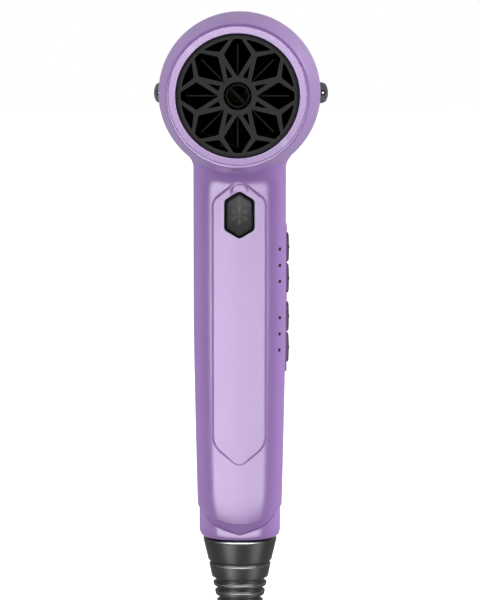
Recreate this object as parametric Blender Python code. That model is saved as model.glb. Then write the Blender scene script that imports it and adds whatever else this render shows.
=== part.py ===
"""Compact hair dryer, as an assembly of separate solids, one object for each piece.

Metres. +Z runs up the handle, -Y points the way the air blows out, and +X is the side of the two rockers.
The origin is at the bottom centre of the bounding box, under the tip of the strain relief.
"""

import math

import bmesh
import bpy
import numpy as np
from mathutils import Matrix, Vector

MM = 0.001
GAP = 0.3 * MM  # between two pieces that touch on the real object

# ---------------------------------------------------------------- driving dimensions
OVERALL_DEPTH = 128 * MM
OUTLET_Y = -OVERALL_DEPTH / 2  # front face of the outlet ring
TAIL_Y = OVERALL_DEPTH / 2  # back of the filter cover
HANDLE_Y = OUTLET_Y + 80 * MM  # the handle's axis
BARREL_Z = 256 * MM  # the barrel's axis
WALL = 2 * MM

BARREL_RADIUS = 36 * MM
BARREL_FRONT_Y = OUTLET_Y + 3.7 * MM
BARREL_BACK_Y = HANDLE_Y + 34 * MM
BARREL_WIDEST_Y = (HANDLE_Y - 3 * MM, HANDLE_Y + 24 * MM)
BARREL_FRONT_DROP = 5.6 * MM  # how much smaller the radius is at the front edge
BARREL_BACK_DROP = 0.8 * MM

HANDLE_HALF_WIDTH = 20.7 * MM
HANDLE_HALF_DEPTH = 19.5 * MM
HANDLE_CORNER = 8.5 * MM
HANDLE_TAPER_Z = 157 * MM  # the handle narrows below this height
HANDLE_FOOT_Z = 70 * MM
HANDLE_TAPER = (1.7 * MM, 0.9 * MM)  # how much each half size shrinks down to the foot
FILLET_SIDE = 3.5 * MM
FILLET_FRONT = 8 * MM

RIM_Z = 55 * MM  # underside of the collar
FOOT_EDGE = (62.6 * MM, 6.8 * MM)  # height of the foot's edge at the front, and its rise to the sides
FOOT_TIP = (57.6 * MM, 5.5 * MM, 7 * MM)  # the end of the undercut below it: height, slope and upturn
FOOT_MEET = 0.6 * MM  # how far below the edge the undercut ends at the sides
FOOT_UNDERCUT = (0.5 * MM, 1.5 * MM)
COLLAR_HALF = (18.3 * MM, 17.0 * MM)
COLLAR_CORNER = 10 * MM
SPIGOT_RISE = 6 * MM

SPLIT_Z = 196 * MM  # top of the back cover

BUTTON_Z = 202.1 * MM
BUTTON_HOLE = (6.8 * MM, 10.7 * MM)  # half width and half height of the six-sided hole
BUTTON_SIDE = 0.62  # share of the half height where the upright sides end

ROCKER_Z = {"speed": 179.4 * MM, "heat": 148.0 * MM}
ROCKER_PIN_X = 16.8 * MM
ROCKER_HALF_WIDTH = 4.7 * MM
PIN_RADIUS = 1 * MM
PLATE_FACE_X = 21.1 * MM
PLATE_HALF = (8.2 * MM, 32.8 * MM)
PLATE_Z = 163.7 * MM

GRILLE_RADIUS = 25.7 * MM
PETALS = 8

FIN_RADII = (5.5 * MM, 21.5 * MM)
FIN_Y = (OUTLET_Y + 6 * MM, OUTLET_Y + 50 * MM)
COIL_RADIUS = 22.15 * MM

MOTOR_Y = OUTLET_Y + 58 * MM  # front face of the motor's can
DUCT_RADII = (29.2 * MM, 30.4 * MM)
DUCT_LENGTH = 41 * MM
FAN_RADIUS = 28.7 * MM
SHAFT_RADIUS = 1.5 * MM

FLANGE_RADIUS = 35 * MM  # the filter frame, behind the barrel
FLANGE_Y = (BARREL_BACK_Y + GAP, BARREL_BACK_Y + 5 * MM)
LUG_ROOT = 33.4 * MM  # inside and outside of the frame's side lugs, from the barrel's axis
LUG_REACH = 40.2 * MM
LUG_HALF_HEIGHT = 4.8 * MM
LUG_DROP = 1 * MM  # below the barrel's axis
LUG_HOLE = (37.9 * MM, 1.05 * MM)  # place and radius of the hole through each lug

RELIEF_TOP_RADIUS = 16.5 * MM
RELIEF_TIP_RADIUS = 5.4 * MM
CORD_BORE_RADIUS = 4.2 * MM
COLLAR_BORE_RADIUS = 11.5 * MM
RELIEF_GROOVES = [(z * MM, (z + 2.3) * MM, 1.5 * MM) for z in (6, 10.7, 15.4, 20.1, 24.8, 29.2)]
RELIEF_GROOVES += [(33 * MM, 35.6 * MM, 1.5 * MM), (41.8 * MM, 43.4 * MM, MM)]

SCREWS_Z = {"upper": 163.7 * MM, "lower": 86 * MM}
SCREW_RADIUS = 1.4 * MM
SCREW_HEAD_RADIUS = 2.9 * MM

# Faceting: cells round the barrel, across half the handle's opening, and along the barrel.
ROUND = 36
HALF_ACROSS = 4
ALONG = (6, 8, 2)


# ---------------------------------------------------------------- materials
MATERIALS = {
    "lilac": ((0.45, 0.28, 0.62), 0.38, 0.0),
    "black_gloss": ((0.02, 0.02, 0.02), 0.3, 0.0),
    "black_matt": ((0.035, 0.035, 0.035), 0.6, 0.0),
    "rubber": ((0.02, 0.02, 0.02), 0.55, 0.0),
    "mica": ((0.45, 0.36, 0.2), 0.5, 0.0),
    "nichrome": ((0.35, 0.33, 0.3), 0.35, 1.0),
    "steel": ((0.6, 0.6, 0.6), 0.3, 1.0),
    "iron": ((0.25, 0.25, 0.26), 0.45, 1.0),
    "white_nylon": ((0.8, 0.79, 0.74), 0.5, 0.0),
    "board_green": ((0.03, 0.16, 0.07), 0.45, 0.0),
    "component_blue": ((0.05, 0.12, 0.4), 0.4, 0.0),
    "copper": ((0.7, 0.33, 0.18), 0.35, 1.0),
    "lead_red": ((0.5, 0.03, 0.03), 0.45, 0.0),
    "lead_white": ((0.75, 0.75, 0.72), 0.45, 0.0),
}


def make_material(name):
    colour, roughness, metallic = MATERIALS[name]
    material = bpy.data.materials.new(name)
    material.use_nodes = True
    shader = material.node_tree.nodes["Principled BSDF"]
    shader.inputs["Base Color"].default_value = (*colour, 1)
    shader.inputs["Roughness"].default_value = roughness
    shader.inputs["Metallic"].default_value = metallic
    return material


# ---------------------------------------------------------------- modelling helpers
def place(mesh, name, material, at=(0, 0, 0)):
    """Makes an object of a mesh in world coordinates, with the object's origin at a point."""
    origin = Vector(at)
    mesh.transform(Matrix.Translation(-origin))
    mesh.update()
    mesh.shade_smooth()
    mesh.set_sharp_from_angle(angle=math.radians(35))
    obj = bpy.data.objects.new(name, mesh)
    obj.location = origin
    bpy.context.scene.collection.objects.link(obj)
    mesh.materials.append(bpy.data.materials.get(material) or make_material(material))
    return obj


def finish_bmesh(bm, name, material, at=(0, 0, 0)):
    bmesh.ops.remove_doubles(bm, verts=bm.verts, dist=1e-7)
    bmesh.ops.recalc_face_normals(bm, faces=bm.faces)
    mesh = bpy.data.meshes.new(name)
    bm.to_mesh(mesh)
    bm.free()
    return place(mesh, name, material, at)


def turned(name, profile, material, axis="Y", centre=(0, 0, 0), steps=32, at=None):
    """Spins a closed profile of (radius, distance along the axis) about an axis through centre."""
    bm = bmesh.new()
    across = {"X": Vector((0, 0, 1)), "Y": Vector((0, 0, 1)), "Z": Vector((1, 0, 0))}[axis]
    along = {"X": Vector((1, 0, 0)), "Y": Vector((0, 1, 0)), "Z": Vector((0, 0, 1))}[axis]
    verts = [bm.verts.new(Vector(centre) + across * r + along * t) for r, t in profile]
    edges = [
        bm.edges.new((verts[k], verts[(k + 1) % len(verts)]))
        for k in range(len(verts))
        if profile[k][0] > 0 or profile[(k + 1) % len(verts)][0] > 0
    ]
    bmesh.ops.spin(
        bm,
        geom=[*verts, *edges],
        cent=Vector(centre),
        axis=along,
        angle=2 * math.pi,
        steps=steps,
        use_merge=True,
        use_duplicate=False,
    )
    return finish_bmesh(bm, name, material, centre if at is None else at)


def tube_profile(inner, outer, start, end):
    return [(inner, start), (outer, start), (outer, end), (inner, end)]


def extruded(name, outline, start, end, material, frame, at=(0, 0, 0)):
    """Extrudes a closed outline of (u, v) from start to end. frame gives the origin and the directions of
    u, v and depth."""
    origin, u_axis, v_axis, depth = (Vector(part) for part in frame)
    bm = bmesh.new()
    verts = [bm.verts.new(origin + u_axis * u + v_axis * v + depth * start) for u, v in outline]
    face = bm.faces.new(verts)
    swept = bmesh.ops.extrude_face_region(bm, geom=[face])["geom"]
    moved = [g for g in swept if isinstance(g, bmesh.types.BMVert)]
    bmesh.ops.translate(bm, verts=moved, vec=depth * (end - start))
    return finish_bmesh(bm, name, material, at)


def block(name, low, high, material, at=(0, 0, 0)):
    outline = [(low[0], low[1]), (high[0], low[1]), (high[0], high[1]), (low[0], high[1])]
    frame = ((0, 0, 0), (1, 0, 0), (0, 1, 0), (0, 0, 1))
    return extruded(name, outline, low[2], high[2], material, frame, at)


def rod(name, start, end, radius, material, steps=16, at=(0, 0, 0)):
    """A round bar between two points."""
    start, end = Vector(start), Vector(end)
    bm = bmesh.new()
    turn = (end - start).to_track_quat("Z", "Y").to_matrix().to_4x4()
    bmesh.ops.create_cone(
        bm,
        cap_ends=True,
        segments=steps,
        radius1=radius,
        radius2=radius,
        depth=(end - start).length,
        matrix=Matrix.Translation((start + end) / 2) @ turn,
    )
    return finish_bmesh(bm, name, material, at)


def wire(name, points, radius, material, sides=2, at=(0, 0, 0)):
    """A round wire or lead along points. sides is the curve's bevel resolution."""
    curve = bpy.data.curves.new(name, "CURVE")
    curve.dimensions = "3D"
    curve.bevel_depth = radius
    curve.bevel_resolution = sides
    curve.use_fill_caps = True
    spline = curve.splines.new("POLY")
    spline.points.add(len(points) - 1)
    for slot, point in zip(spline.points, points, strict=True):
        slot.co = (*(Vector(point) - Vector(at)), 1)
    obj = bpy.data.objects.new(name, curve)
    obj.location = Vector(at)
    bpy.context.scene.collection.objects.link(obj)
    curve.materials.append(bpy.data.materials.get(material) or make_material(material))
    return obj


def smooth_path(points, per_span=4):
    """Points on a Catmull-Rom curve through the given ones."""
    known = [Vector(p) for p in points]
    ends = [2 * known[0] - known[1], *known, 2 * known[-1] - known[-2]]
    path = []
    for k in range(len(known) - 1):
        a, b, c, d = ends[k : k + 4]
        for step in range(per_span):
            t = step / per_span
            path.append(
                0.5
                * (2 * b + (c - a) * t + (2 * a - 5 * b + 4 * c - d) * t**2 + (3 * b - a - 3 * c + d) * t**3)
            )
    return [*path, known[-1]]


def combine(obj, other, operation="DIFFERENCE"):
    """Cuts, joins or trims obj with another object, which then isn't a piece itself."""
    modifier = obj.modifiers.new(operation.title() + " " + other.name, "BOOLEAN")
    modifier.operation = operation
    modifier.object = other
    other.hide_render = True
    other.display_type = "WIRE"
    return obj


def stacked(name, rows, material, at=(0, 0, 0)):
    """A closed surface through rings of points that follow one another, the last one joined to the first."""
    bm = bmesh.new()
    rings = [[bm.verts.new(p) for p in row] for row in rows]
    count = len(rings[0])
    for k, ring in enumerate(rings):
        following = rings[(k + 1) % len(rings)]
        for i in range(count):
            n = (i + 1) % count
            bm.faces.new((ring[i], ring[n], following[n], following[i]))
    return finish_bmesh(bm, name, material, at)


# ---------------------------------------------------------------- outer form
def eased(value, start, end):
    """0 at start, 1 at end, held outside."""
    return min(1.0, max(0.0, (value - start) / (end - start)))


def barrel_radius(y):
    front = eased(y, BARREL_WIDEST_Y[0], BARREL_FRONT_Y)
    back = eased(y, BARREL_WIDEST_Y[1], BARREL_BACK_Y)
    return BARREL_RADIUS - BARREL_FRONT_DROP * front**2 - BARREL_BACK_DROP * back**2


def barrel_point(theta, y, inset=0.0):
    """theta is 0 at the bottom of the barrel, and positive towards +X."""
    r = barrel_radius(y) - inset
    return Vector((r * math.sin(theta), y, BARREL_Z - r * math.cos(theta)))


def handle_half_sizes(z):
    share = eased(z, HANDLE_TAPER_Z, HANDLE_FOOT_Z) ** 1.3
    return HANDLE_HALF_WIDTH - HANDLE_TAPER[0] * share, HANDLE_HALF_DEPTH - HANDLE_TAPER[1] * share


def side_point(share, half_run, half_cross, corner):
    """A point on one side of a rounded rectangle, and its normal. share runs from -1 to 1, from the middle
    of one rounded corner to the middle of the next."""
    flat = half_run - corner
    run = abs(share) * (flat + corner * math.pi / 4)
    turn = max(0.0, run - flat) / corner
    along = min(run, flat) + corner * math.sin(turn)
    across = half_cross - corner * (1 - math.cos(turn))
    sign = 1 if share >= 0 else -1
    return sign * along, across, sign * math.sin(turn), math.cos(turn)


def section_loop(half_width, half_depth, corner, across=HALF_ACROSS, deep=ALONG[1]):
    """The rounded rectangle as (x, y, normal x, normal y), anticlockwise from above, from the front left
    corner."""
    loop = []
    for k in range(2 * across):
        u, v, nu, nv = side_point(k / across - 1, half_width, half_depth, corner)
        loop.append((u, -v, nu, -nv))
    for k in range(deep):
        u, v, nu, nv = side_point(2 * k / deep - 1, half_depth, half_width, corner)
        loop.append((v, u, nv, nu))
    return loop + [(-x, -y, -nx, -ny) for x, y, nx, ny in loop]


def ring_at(z, half_width, half_depth, corner):
    """A ring of points round the handle's axis. z is a height, or a function of the point's share of the way
    round: 0 in the middle of the front and 1.2 in the middle of a side."""
    ring = []
    for x, y, _, _ in section_loop(half_width, half_depth, corner):
        share = abs(x) / half_width * (1.2 - 0.2 * abs(y) / half_depth)
        height = z(share) if callable(z) else z
        ring.append(Vector((x, HANDLE_Y + y, height)))
    return ring


def round_ring(z, radius):
    return [
        Vector((radius * math.cos(a), HANDLE_Y + radius * math.sin(a), z))
        for a in (math.atan2(y, x) for x, y, _, _ in section_loop(radius, radius, radius))
    ]


def foot_edge(share):
    """The height of the foot's edge: low in front, high at the sides."""
    low, rise = FOOT_EDGE
    return low + rise * share**1.8


def foot_tip(share):
    """The height where the undercut below the foot's edge ends: a V in front that closes at the sides."""
    low, slope, upturn = FOOT_TIP
    return min(low + slope * share + upturn * share**4, foot_edge(share) - FOOT_MEET)


def relaxed_lattice():
    """Angles and distances of the barrel's grid points, eased so that the grid follows the rounded joint
    with the handle."""
    front, middle, back = ALONG
    theta = np.tile((np.arange(ROUND) - ROUND // 2)[:, None] * 2 * math.pi / ROUND, (1, sum(ALONG) + 1))
    reach = HANDLE_HALF_DEPTH + FILLET_FRONT
    lines = np.concatenate(
        [
            np.linspace(BARREL_FRONT_Y, HANDLE_Y - reach, front + 1)[:-1],
            np.linspace(HANDLE_Y - reach, HANDLE_Y + reach, middle + 1)[:-1],
            np.linspace(HANDLE_Y + reach, BARREL_BACK_Y, back + 1),
        ]
    )
    y = np.tile(lines, (ROUND, 1))
    shift = np.zeros((*theta.shape, 2))
    held = np.zeros(theta.shape, bool)
    held[:, [0, -1]] = True
    for (i, j), (x, depth, nx, ny) in zip(opening_indices(), handle_top_loop(), strict=True):
        size = fillet_size(nx, ny)
        target_y = HANDLE_Y + depth + ny * size
        target = (math.asin((x + nx * size) / barrel_radius(target_y)), target_y)
        shift[i, j] = (target[0] - theta[i, j], target[1] - y[i, j])
        held[i, j] = True
    for _ in range(400):
        mean = (np.roll(shift, 1, 0) + np.roll(shift, -1, 0)) / 2
        mean[:, 1:-1] = (mean[:, 1:-1] + (shift[:, :-2] + shift[:, 2:]) / 2) / 2
        shift = np.where(held[..., None], shift, mean)
    return theta + shift[..., 0], y + shift[..., 1]


def opening_indices():
    """Grid places round the opening for the handle, in the order of section_loop."""
    middle, half = ROUND // 2, HALF_ACROSS
    j0, j1 = ALONG[0], ALONG[0] + ALONG[1]
    front = [(middle + i, j0) for i in range(-half, half)]
    right = [(middle + half, j) for j in range(j0, j1)]
    back = [(middle + i, j1) for i in range(half, -half, -1)]
    left = [(middle - half, j) for j in range(j1, j0, -1)]
    return front + right + back + left


def handle_top_loop(inset=0.0):
    return section_loop(HANDLE_HALF_WIDTH - inset, HANDLE_HALF_DEPTH - inset, HANDLE_CORNER - inset)


def fillet_size(nx, ny):
    return FILLET_SIDE * nx * nx + FILLET_FRONT * ny * ny


def fillet_column(outer, inner, barrel_end, inset):
    """The joint's curve at one place of the loop, from the barrel down to the handle."""
    x, y, nx, ny = outer
    z_top = BARREL_Z - math.sqrt(barrel_radius(HANDLE_Y + y) ** 2 - x * x)
    foot = Vector((inner[0], HANDLE_Y + inner[1], z_top - fillet_size(nx, ny)))
    corner = Vector((foot.x, foot.y, z_top + inset))
    radial = Vector((barrel_end.x, 0, barrel_end.z - BARREL_Z)).normalized()
    pull = corner - barrel_end
    pull -= radial * pull.dot(radial)
    a, b, c, d = barrel_end, barrel_end + 0.55 * pull, foot + 0.55 * (corner - foot), foot
    steps = (0.34, 0.67, 1.0)
    return [
        a * (1 - t) ** 3 + 3 * b * t * (1 - t) ** 2 + 3 * c * t * t * (1 - t) + d * t**3 for t in steps
    ]


def housing_points(inset):
    """Every point of the outer surface, or of the same surface moved in by inset: the barrel's grid, then
    rings of points down the handle."""
    theta, y = relaxed_lattice()
    grid = [
        [barrel_point(theta[i, j], y[i, j], inset) for j in range(theta.shape[1])] for i in range(ROUND)
    ]
    places = zip(opening_indices(), handle_top_loop(), handle_top_loop(inset), strict=True)
    columns = [fillet_column(outer, inner, grid[i][j], inset) for (i, j), outer, inner in places]
    rings = [list(ring) for ring in zip(*columns, strict=True)]
    for z in (SPLIT_Z, 180 * MM, 157 * MM, 128 * MM, 98 * MM, foot_edge, foot_tip):
        level = z if not callable(z) else HANDLE_FOOT_Z
        half_width, half_depth = handle_half_sizes(level)
        under = FOOT_UNDERCUT if z is foot_tip else (0, 0)
        half_sizes = (half_width - inset - under[0], half_depth - inset - under[1])
        rings.append(ring_at(z, *half_sizes, HANDLE_CORNER - inset))
    return grid, rings


def housing_cells():
    """Quads of the housing's surface as indices into the grid and the rings: those of the front housing, and
    those of the back cover."""
    width = sum(ALONG) + 1
    middle, j0, j1 = ROUND // 2, ALONG[0], ALONG[0] + ALONG[1]
    loop = [i * width + j for i, j in opening_indices()]
    count = len(loop)
    front = []
    for i in range(ROUND):
        for j in range(width - 1):
            if abs(i + 0.5 - middle) < HALF_ACROSS and j0 <= j < j1:
                continue
            n = (i + 1) % ROUND
            front.append((i * width + j, n * width + j, n * width + j + 1, i * width + j + 1))
    cover = []
    rings = [loop] + [[ROUND * width + r * count + k for k in range(count)] for r in range(10)]
    back_half = range(2 * HALF_ACROSS + ALONG[1] // 2, 4 * HALF_ACROSS + 3 * ALONG[1] // 2)
    for r in range(len(rings) - 1):
        for k in range(count):
            n = (k + 1) % count
            quad = (rings[r][k], rings[r][n], rings[r + 1][n], rings[r + 1][k])
            below_split = r >= 4
            (cover if below_split and k in back_half else front).append(quad)
    return front, cover


def shell(name, outer, inner, cells, material):
    """A closed wall between two surfaces with the same cells."""
    used = sorted({v for cell in cells for v in cell})
    index = {v: k for k, v in enumerate(used)}
    bm = bmesh.new()
    outside = [bm.verts.new(outer[v]) for v in used]
    inside = [bm.verts.new(inner[v]) for v in used]
    sides = {}
    for cell in cells:
        ids = [index[v] for v in cell]
        bm.faces.new([outside[i] for i in ids])
        bm.faces.new([inside[i] for i in reversed(ids)])
        for a, b in zip(ids, ids[1:] + ids[:1], strict=True):
            if (b, a) in sides:
                del sides[b, a]
            else:
                sides[a, b] = True
    for a, b in sides:
        bm.faces.new((outside[b], outside[a], inside[a], inside[b]))
    return finish_bmesh(bm, name, material)


def flat_points(surface):
    grid, rings = surface
    return [p for column in grid for p in column] + [p for ring in rings for p in ring]


def six_sided(half_width, half_height, chamfer=0.8 * MM):
    """The outline of the cool-shot key: upright sides and a point above and below, with each corner cut a
    little."""
    side = half_height * BUTTON_SIDE
    corners = [
        Vector((half_width, side)),
        Vector((0, half_height)),
        Vector((-half_width, side)),
        Vector((-half_width, -side)),
        Vector((0, -half_height)),
        Vector((half_width, -side)),
    ]
    outline = []
    for k, corner in enumerate(corners):
        before, after = corners[k - 1], corners[(k + 1) % 6]
        outline.append(tuple(corner + (before - corner).normalized() * chamfer))
        outline.append(tuple(corner + (after - corner).normalized() * chamfer))
    return outline


FRONT_FACING = ((0, 0, BUTTON_Z), (1, 0, 0), (0, 0, 1), (0, 1, 0))


def make_housings():
    outer, inner = flat_points(housing_points(0.0)), flat_points(housing_points(WALL))
    front, cover = housing_cells()
    housing = shell("main_housing", outer, inner, front, "lilac")
    shared = {v for cell in front for v in cell} & {v for cell in cover for v in cell}
    for points in (outer, inner):
        for v in shared:
            at_split = abs(points[v].z - SPLIT_Z) < GAP
            at_side = abs(points[v].y - HANDLE_Y) < GAP
            points[v] = points[v] + Vector((0, GAP if at_side else 0, -GAP if at_split else 0))
    back = shell("handle_back_cover", outer, inner, cover, "lilac")
    wall = HANDLE_Y - HANDLE_HALF_DEPTH
    hole = six_sided(*BUTTON_HOLE)
    combine(housing, extruded("key_hole", hole, wall - 4 * MM, wall + 5 * MM, "lilac", FRONT_FACING))
    window = block(
        "plate_window",
        (PLATE_FACE_X - 5 * MM, HANDLE_Y - PLATE_HALF[0] - GAP, PLATE_Z - PLATE_HALF[1] - GAP),
        (PLATE_FACE_X + 4 * MM, HANDLE_Y + PLATE_HALF[0] + GAP, PLATE_Z + PLATE_HALF[1] + GAP),
        "lilac",
    )
    combine(housing, window)
    combine(back, window)
    make_screws(housing, back)


def make_screws(housing, back):
    """Bosses in both halves of the handle, with the screws that hold the cover on."""
    meet = HANDLE_Y + 8 * MM
    thread_end = HANDLE_Y - 3 * MM
    outside = HANDLE_Y + 24 * MM
    clear_radius = SCREW_RADIUS + GAP
    for where, z in SCREWS_Z.items():

        def bar(label, start, end, radius, steps=16):
            return rod(f"{where}_{label}", (0, start, z), (0, end, z), radius, "lilac", steps)

        half_depth = handle_half_sizes(z)[1]
        front_inside = HANDLE_Y - half_depth + WALL
        back_inside = HANDLE_Y + half_depth - WALL
        head_y = back_inside - 1.2 * MM
        combine(housing, bar("front_boss", front_inside - 0.8 * MM, meet, 3.2 * MM), "UNION")
        combine(housing, bar("thread", thread_end, meet + 3 * MM, clear_radius, 12))
        combine(back, bar("back_boss", meet + GAP, back_inside + 0.8 * MM, 4.2 * MM), "UNION")
        combine(back, bar("through", meet - MM, outside, clear_radius, 12))
        combine(back, bar("head_sink", head_y - GAP, outside, SCREW_HEAD_RADIUS + GAP))
        make_screw(where, z, thread_end + 3 * MM, head_y)


def make_screw(where, z, tip_y, head_y):
    profile = [
        (0, tip_y),
        (SCREW_RADIUS, tip_y + 0.6 * MM),
        (SCREW_RADIUS, head_y),
        (SCREW_HEAD_RADIUS, head_y),
        (SCREW_HEAD_RADIUS, head_y + 1.2 * MM),
        (2 * MM, head_y + 1.9 * MM),
        (0, head_y + 1.9 * MM),
    ]
    screw = turned(f"cover_screw_{where}", profile, "steel", centre=(0, 0, z), steps=14)
    for k, (w, h) in enumerate(((1.5 * MM, 0.35 * MM), (0.35 * MM, 1.5 * MM))):
        low, high = (-w, head_y + 0.9 * MM, z - h), (w, head_y + 3 * MM, z + h)
        combine(screw, block(f"{where}_slot_{k}", low, high, "steel"))


def make_collar():
    """The ring that closes the handle's foot and holds the strain relief."""
    bore, lip_top = COLLAR_BORE_RADIUS, RIM_Z + 3.2 * MM

    def seam(share):
        return foot_tip(share) - GAP

    def top(share):
        return foot_tip(share) + SPIGOT_RISE

    half_width, half_depth = handle_half_sizes(HANDLE_FOOT_Z)
    spigot = (half_width - WALL - FOOT_UNDERCUT[0] - GAP, half_depth - WALL - FOOT_UNDERCUT[1] - GAP)
    inner = (spigot[0] - 1.6 * MM, spigot[1] - 1.6 * MM)
    rows = [
        round_ring(RIM_Z, bore),
        ring_at(RIM_Z, 16.8 * MM, 16.7 * MM, 15 * MM),
        ring_at(RIM_Z + 1.2 * MM, COLLAR_HALF[0] - 0.8 * MM, COLLAR_HALF[1] - 0.2 * MM, 12 * MM),
        ring_at(seam, *COLLAR_HALF, COLLAR_CORNER),
        ring_at(seam, *spigot, COLLAR_CORNER - 2 * MM),
        ring_at(top, *spigot, COLLAR_CORNER - 2 * MM),
        ring_at(top, *inner, COLLAR_CORNER - 3 * MM),
        ring_at(lip_top, *inner, COLLAR_CORNER - 3 * MM),
        round_ring(lip_top, bore),
    ]
    stacked("handle_collar", rows, "lilac", at=(0, HANDLE_Y, RIM_Z))


def make_strain_relief():
    """A ribbed rubber cone with a flange above the collar's lip. Its bore is open for the mains lead."""
    top = RIM_Z - GAP

    def radius(z):
        return RELIEF_TIP_RADIUS + (RELIEF_TOP_RADIUS - RELIEF_TIP_RADIUS) * z / top

    profile = [(CORD_BORE_RADIUS, 0.0), (RELIEF_TIP_RADIUS, 0.0)]
    for low, high, depth in RELIEF_GROOVES:
        profile += [
            (radius(low), low),
            (radius(low) - depth, low + 0.2 * MM),
            (radius(high) - depth, high - 0.2 * MM),
            (radius(high), high),
        ]
    neck = COLLAR_BORE_RADIUS - 0.4 * MM
    flange = (RIM_Z + 3.5 * MM, RIM_Z + 5.6 * MM)
    profile += [
        (RELIEF_TOP_RADIUS, top),
        (neck, top),
        (neck, flange[0]),
        (neck + 1.7 * MM, flange[0]),
        (neck + 1.7 * MM, flange[1]),
        (CORD_BORE_RADIUS, flange[1]),
    ]
    turned("strain_relief", profile, "rubber", axis="Z", centre=(0, HANDLE_Y, 0), steps=18)


# ---------------------------------------------------------------- air outlet and heater
def flower_openings(scale):
    """The three openings that repeat round the flower, as outlines of (u, v) with the axis at (0, 0) and v
    outward: the kite of a petal, the triangle outside the petals and the one inside them."""

    def polar(radius, angle):
        return radius * MM * math.sin(angle), radius * MM * math.cos(angle)

    kite = [(0, 8.0 * MM), (5.5 * MM, 17.2 * MM), (1.5 * MM, 23.6 * MM)]
    kite += [(-u, v) for u, v in reversed(kite[1:])]
    outside = [polar(19.8, 0), *(polar(23.7, a) for a in np.linspace(0.244, -0.244, 6))]
    inside = [polar(13.7, 0), polar(8.3, -0.14), polar(8.3, 0.14)]
    return [[(u * scale, v * scale) for u, v in outline] for outline in (kite, outside, inside)]


def flower_cutter(name, scale, y_start, y_end, hub_hole):
    """One mesh of all the openings of the flower pattern, to cut a disc about the barrel's axis with."""
    kite, outside, inside = flower_openings(scale)
    step = 2 * math.pi / PETALS
    bm = bmesh.new()

    def add(outline, turn):
        swing = Matrix.Rotation(turn, 2)
        points = [swing @ Vector(p) for p in outline]
        verts = [bm.verts.new((p.x, y_start, BARREL_Z + p.y)) for p in points]
        swept = bmesh.ops.extrude_face_region(bm, geom=[bm.faces.new(verts)])["geom"]
        moved = [g for g in swept if isinstance(g, bmesh.types.BMVert)]
        bmesh.ops.translate(bm, verts=moved, vec=(0, y_end - y_start, 0))

    for k in range(PETALS):
        add(kite, k * step)
        add(outside, (k + 0.5) * step)
        add(inside, (k + 0.5) * step)
    add([(hub_hole * math.cos(a), hub_hole * math.sin(a)) for a in np.linspace(0, 2 * math.pi, 25)[:-1]], 0)
    return finish_bmesh(bm, name, "black_matt")


def make_outlet():
    axis = (0, 0, BARREL_Z)
    front = OUTLET_Y
    skirt = (26.0 * MM, 27.9 * MM)
    profile = [
        (skirt[0], front),
        (28.3 * MM, front),
        (29.1 * MM, front + 0.8 * MM),
        (29.1 * MM, BARREL_FRONT_Y - GAP),
        (skirt[1], BARREL_FRONT_Y - GAP),
        (skirt[1], front + 14 * MM),
        (skirt[0], front + 14 * MM),
    ]
    turned("outlet_ring", profile, "lilac", centre=axis, steps=ROUND)
    disc = tube_profile(0, GRILLE_RADIUS, front + 0.5 * MM, front + 2.5 * MM)
    grille = turned("outlet_grille", disc, "black_matt", centre=axis, steps=ROUND)
    combine(grille, flower_cutter("grille_openings", 1.0, front - MM, front + 4 * MM, 5.9 * MM))
    sleeve = tube_profile(24.9 * MM, 25.5 * MM, front + 3 * MM, FIN_Y[1] + 2 * MM)
    turned("heat_sleeve", sleeve, "mica", centre=axis, steps=28)


def around(radius, angle, y):
    """A point at a radius and an angle from straight up, about the barrel's axis."""
    return Vector((radius * math.sin(angle), y, BARREL_Z + radius * math.cos(angle)))


def make_heater():
    axis = (0, 0, BARREL_Z)
    turned("mica_centre_tube", tube_profile(4.4 * MM, 5.0 * MM, *FIN_Y), "mica", centre=axis, steps=16)
    half_sheet = 0.25 * MM
    for k in range(PETALS):
        angle = 2 * math.pi * k / PETALS
        radial = Vector((math.sin(angle), 0, math.cos(angle)))
        sideways = Vector((math.cos(angle), 0, -math.sin(angle)))
        outline = [(FIN_RADII[0], -half_sheet), (FIN_RADII[1], -half_sheet)]
        outline += [(FIN_RADII[1], half_sheet), (FIN_RADII[0], half_sheet)]
        extruded(f"mica_fin_{k + 1}", outline, *FIN_Y, "mica", (axis, radial, sideways, (0, 1, 0)), at=axis)
    pitch = 3.5 * MM
    for name, offset, turns in (("heater_coil_front", 2 * MM, 6), ("heater_coil_rear", 26 * MM, 4)):
        start = FIN_Y[0] + offset
        corners = [
            around(COIL_RADIUS, 2 * math.pi * k / PETALS, start + pitch * k / PETALS)
            for k in range(turns * PETALS + 1)
        ]
        wire(name, corners, 0.35 * MM, "nichrome", sides=0, at=axis)
    lie = math.radians(135)
    fuse_y = FIN_Y[0] - 1.5 * MM
    rod("thermal_fuse", around(-4.2 * MM, lie, fuse_y), around(4.2 * MM, lie, fuse_y), MM, "steel", 12, axis)
    seat = around(13.5 * MM, math.radians(157.5), 0)
    back = FIN_Y[1] + GAP
    body = [(0, 0), (4.3, 0), (4.3, 2.5), (3.2, 3.8), (0, 3.8)]
    body = [(r * MM, back + y * MM) for r, y in body]
    turned("thermostat", body, "black_matt", centre=(seat.x, 0, seat.z), steps=16)


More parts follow.
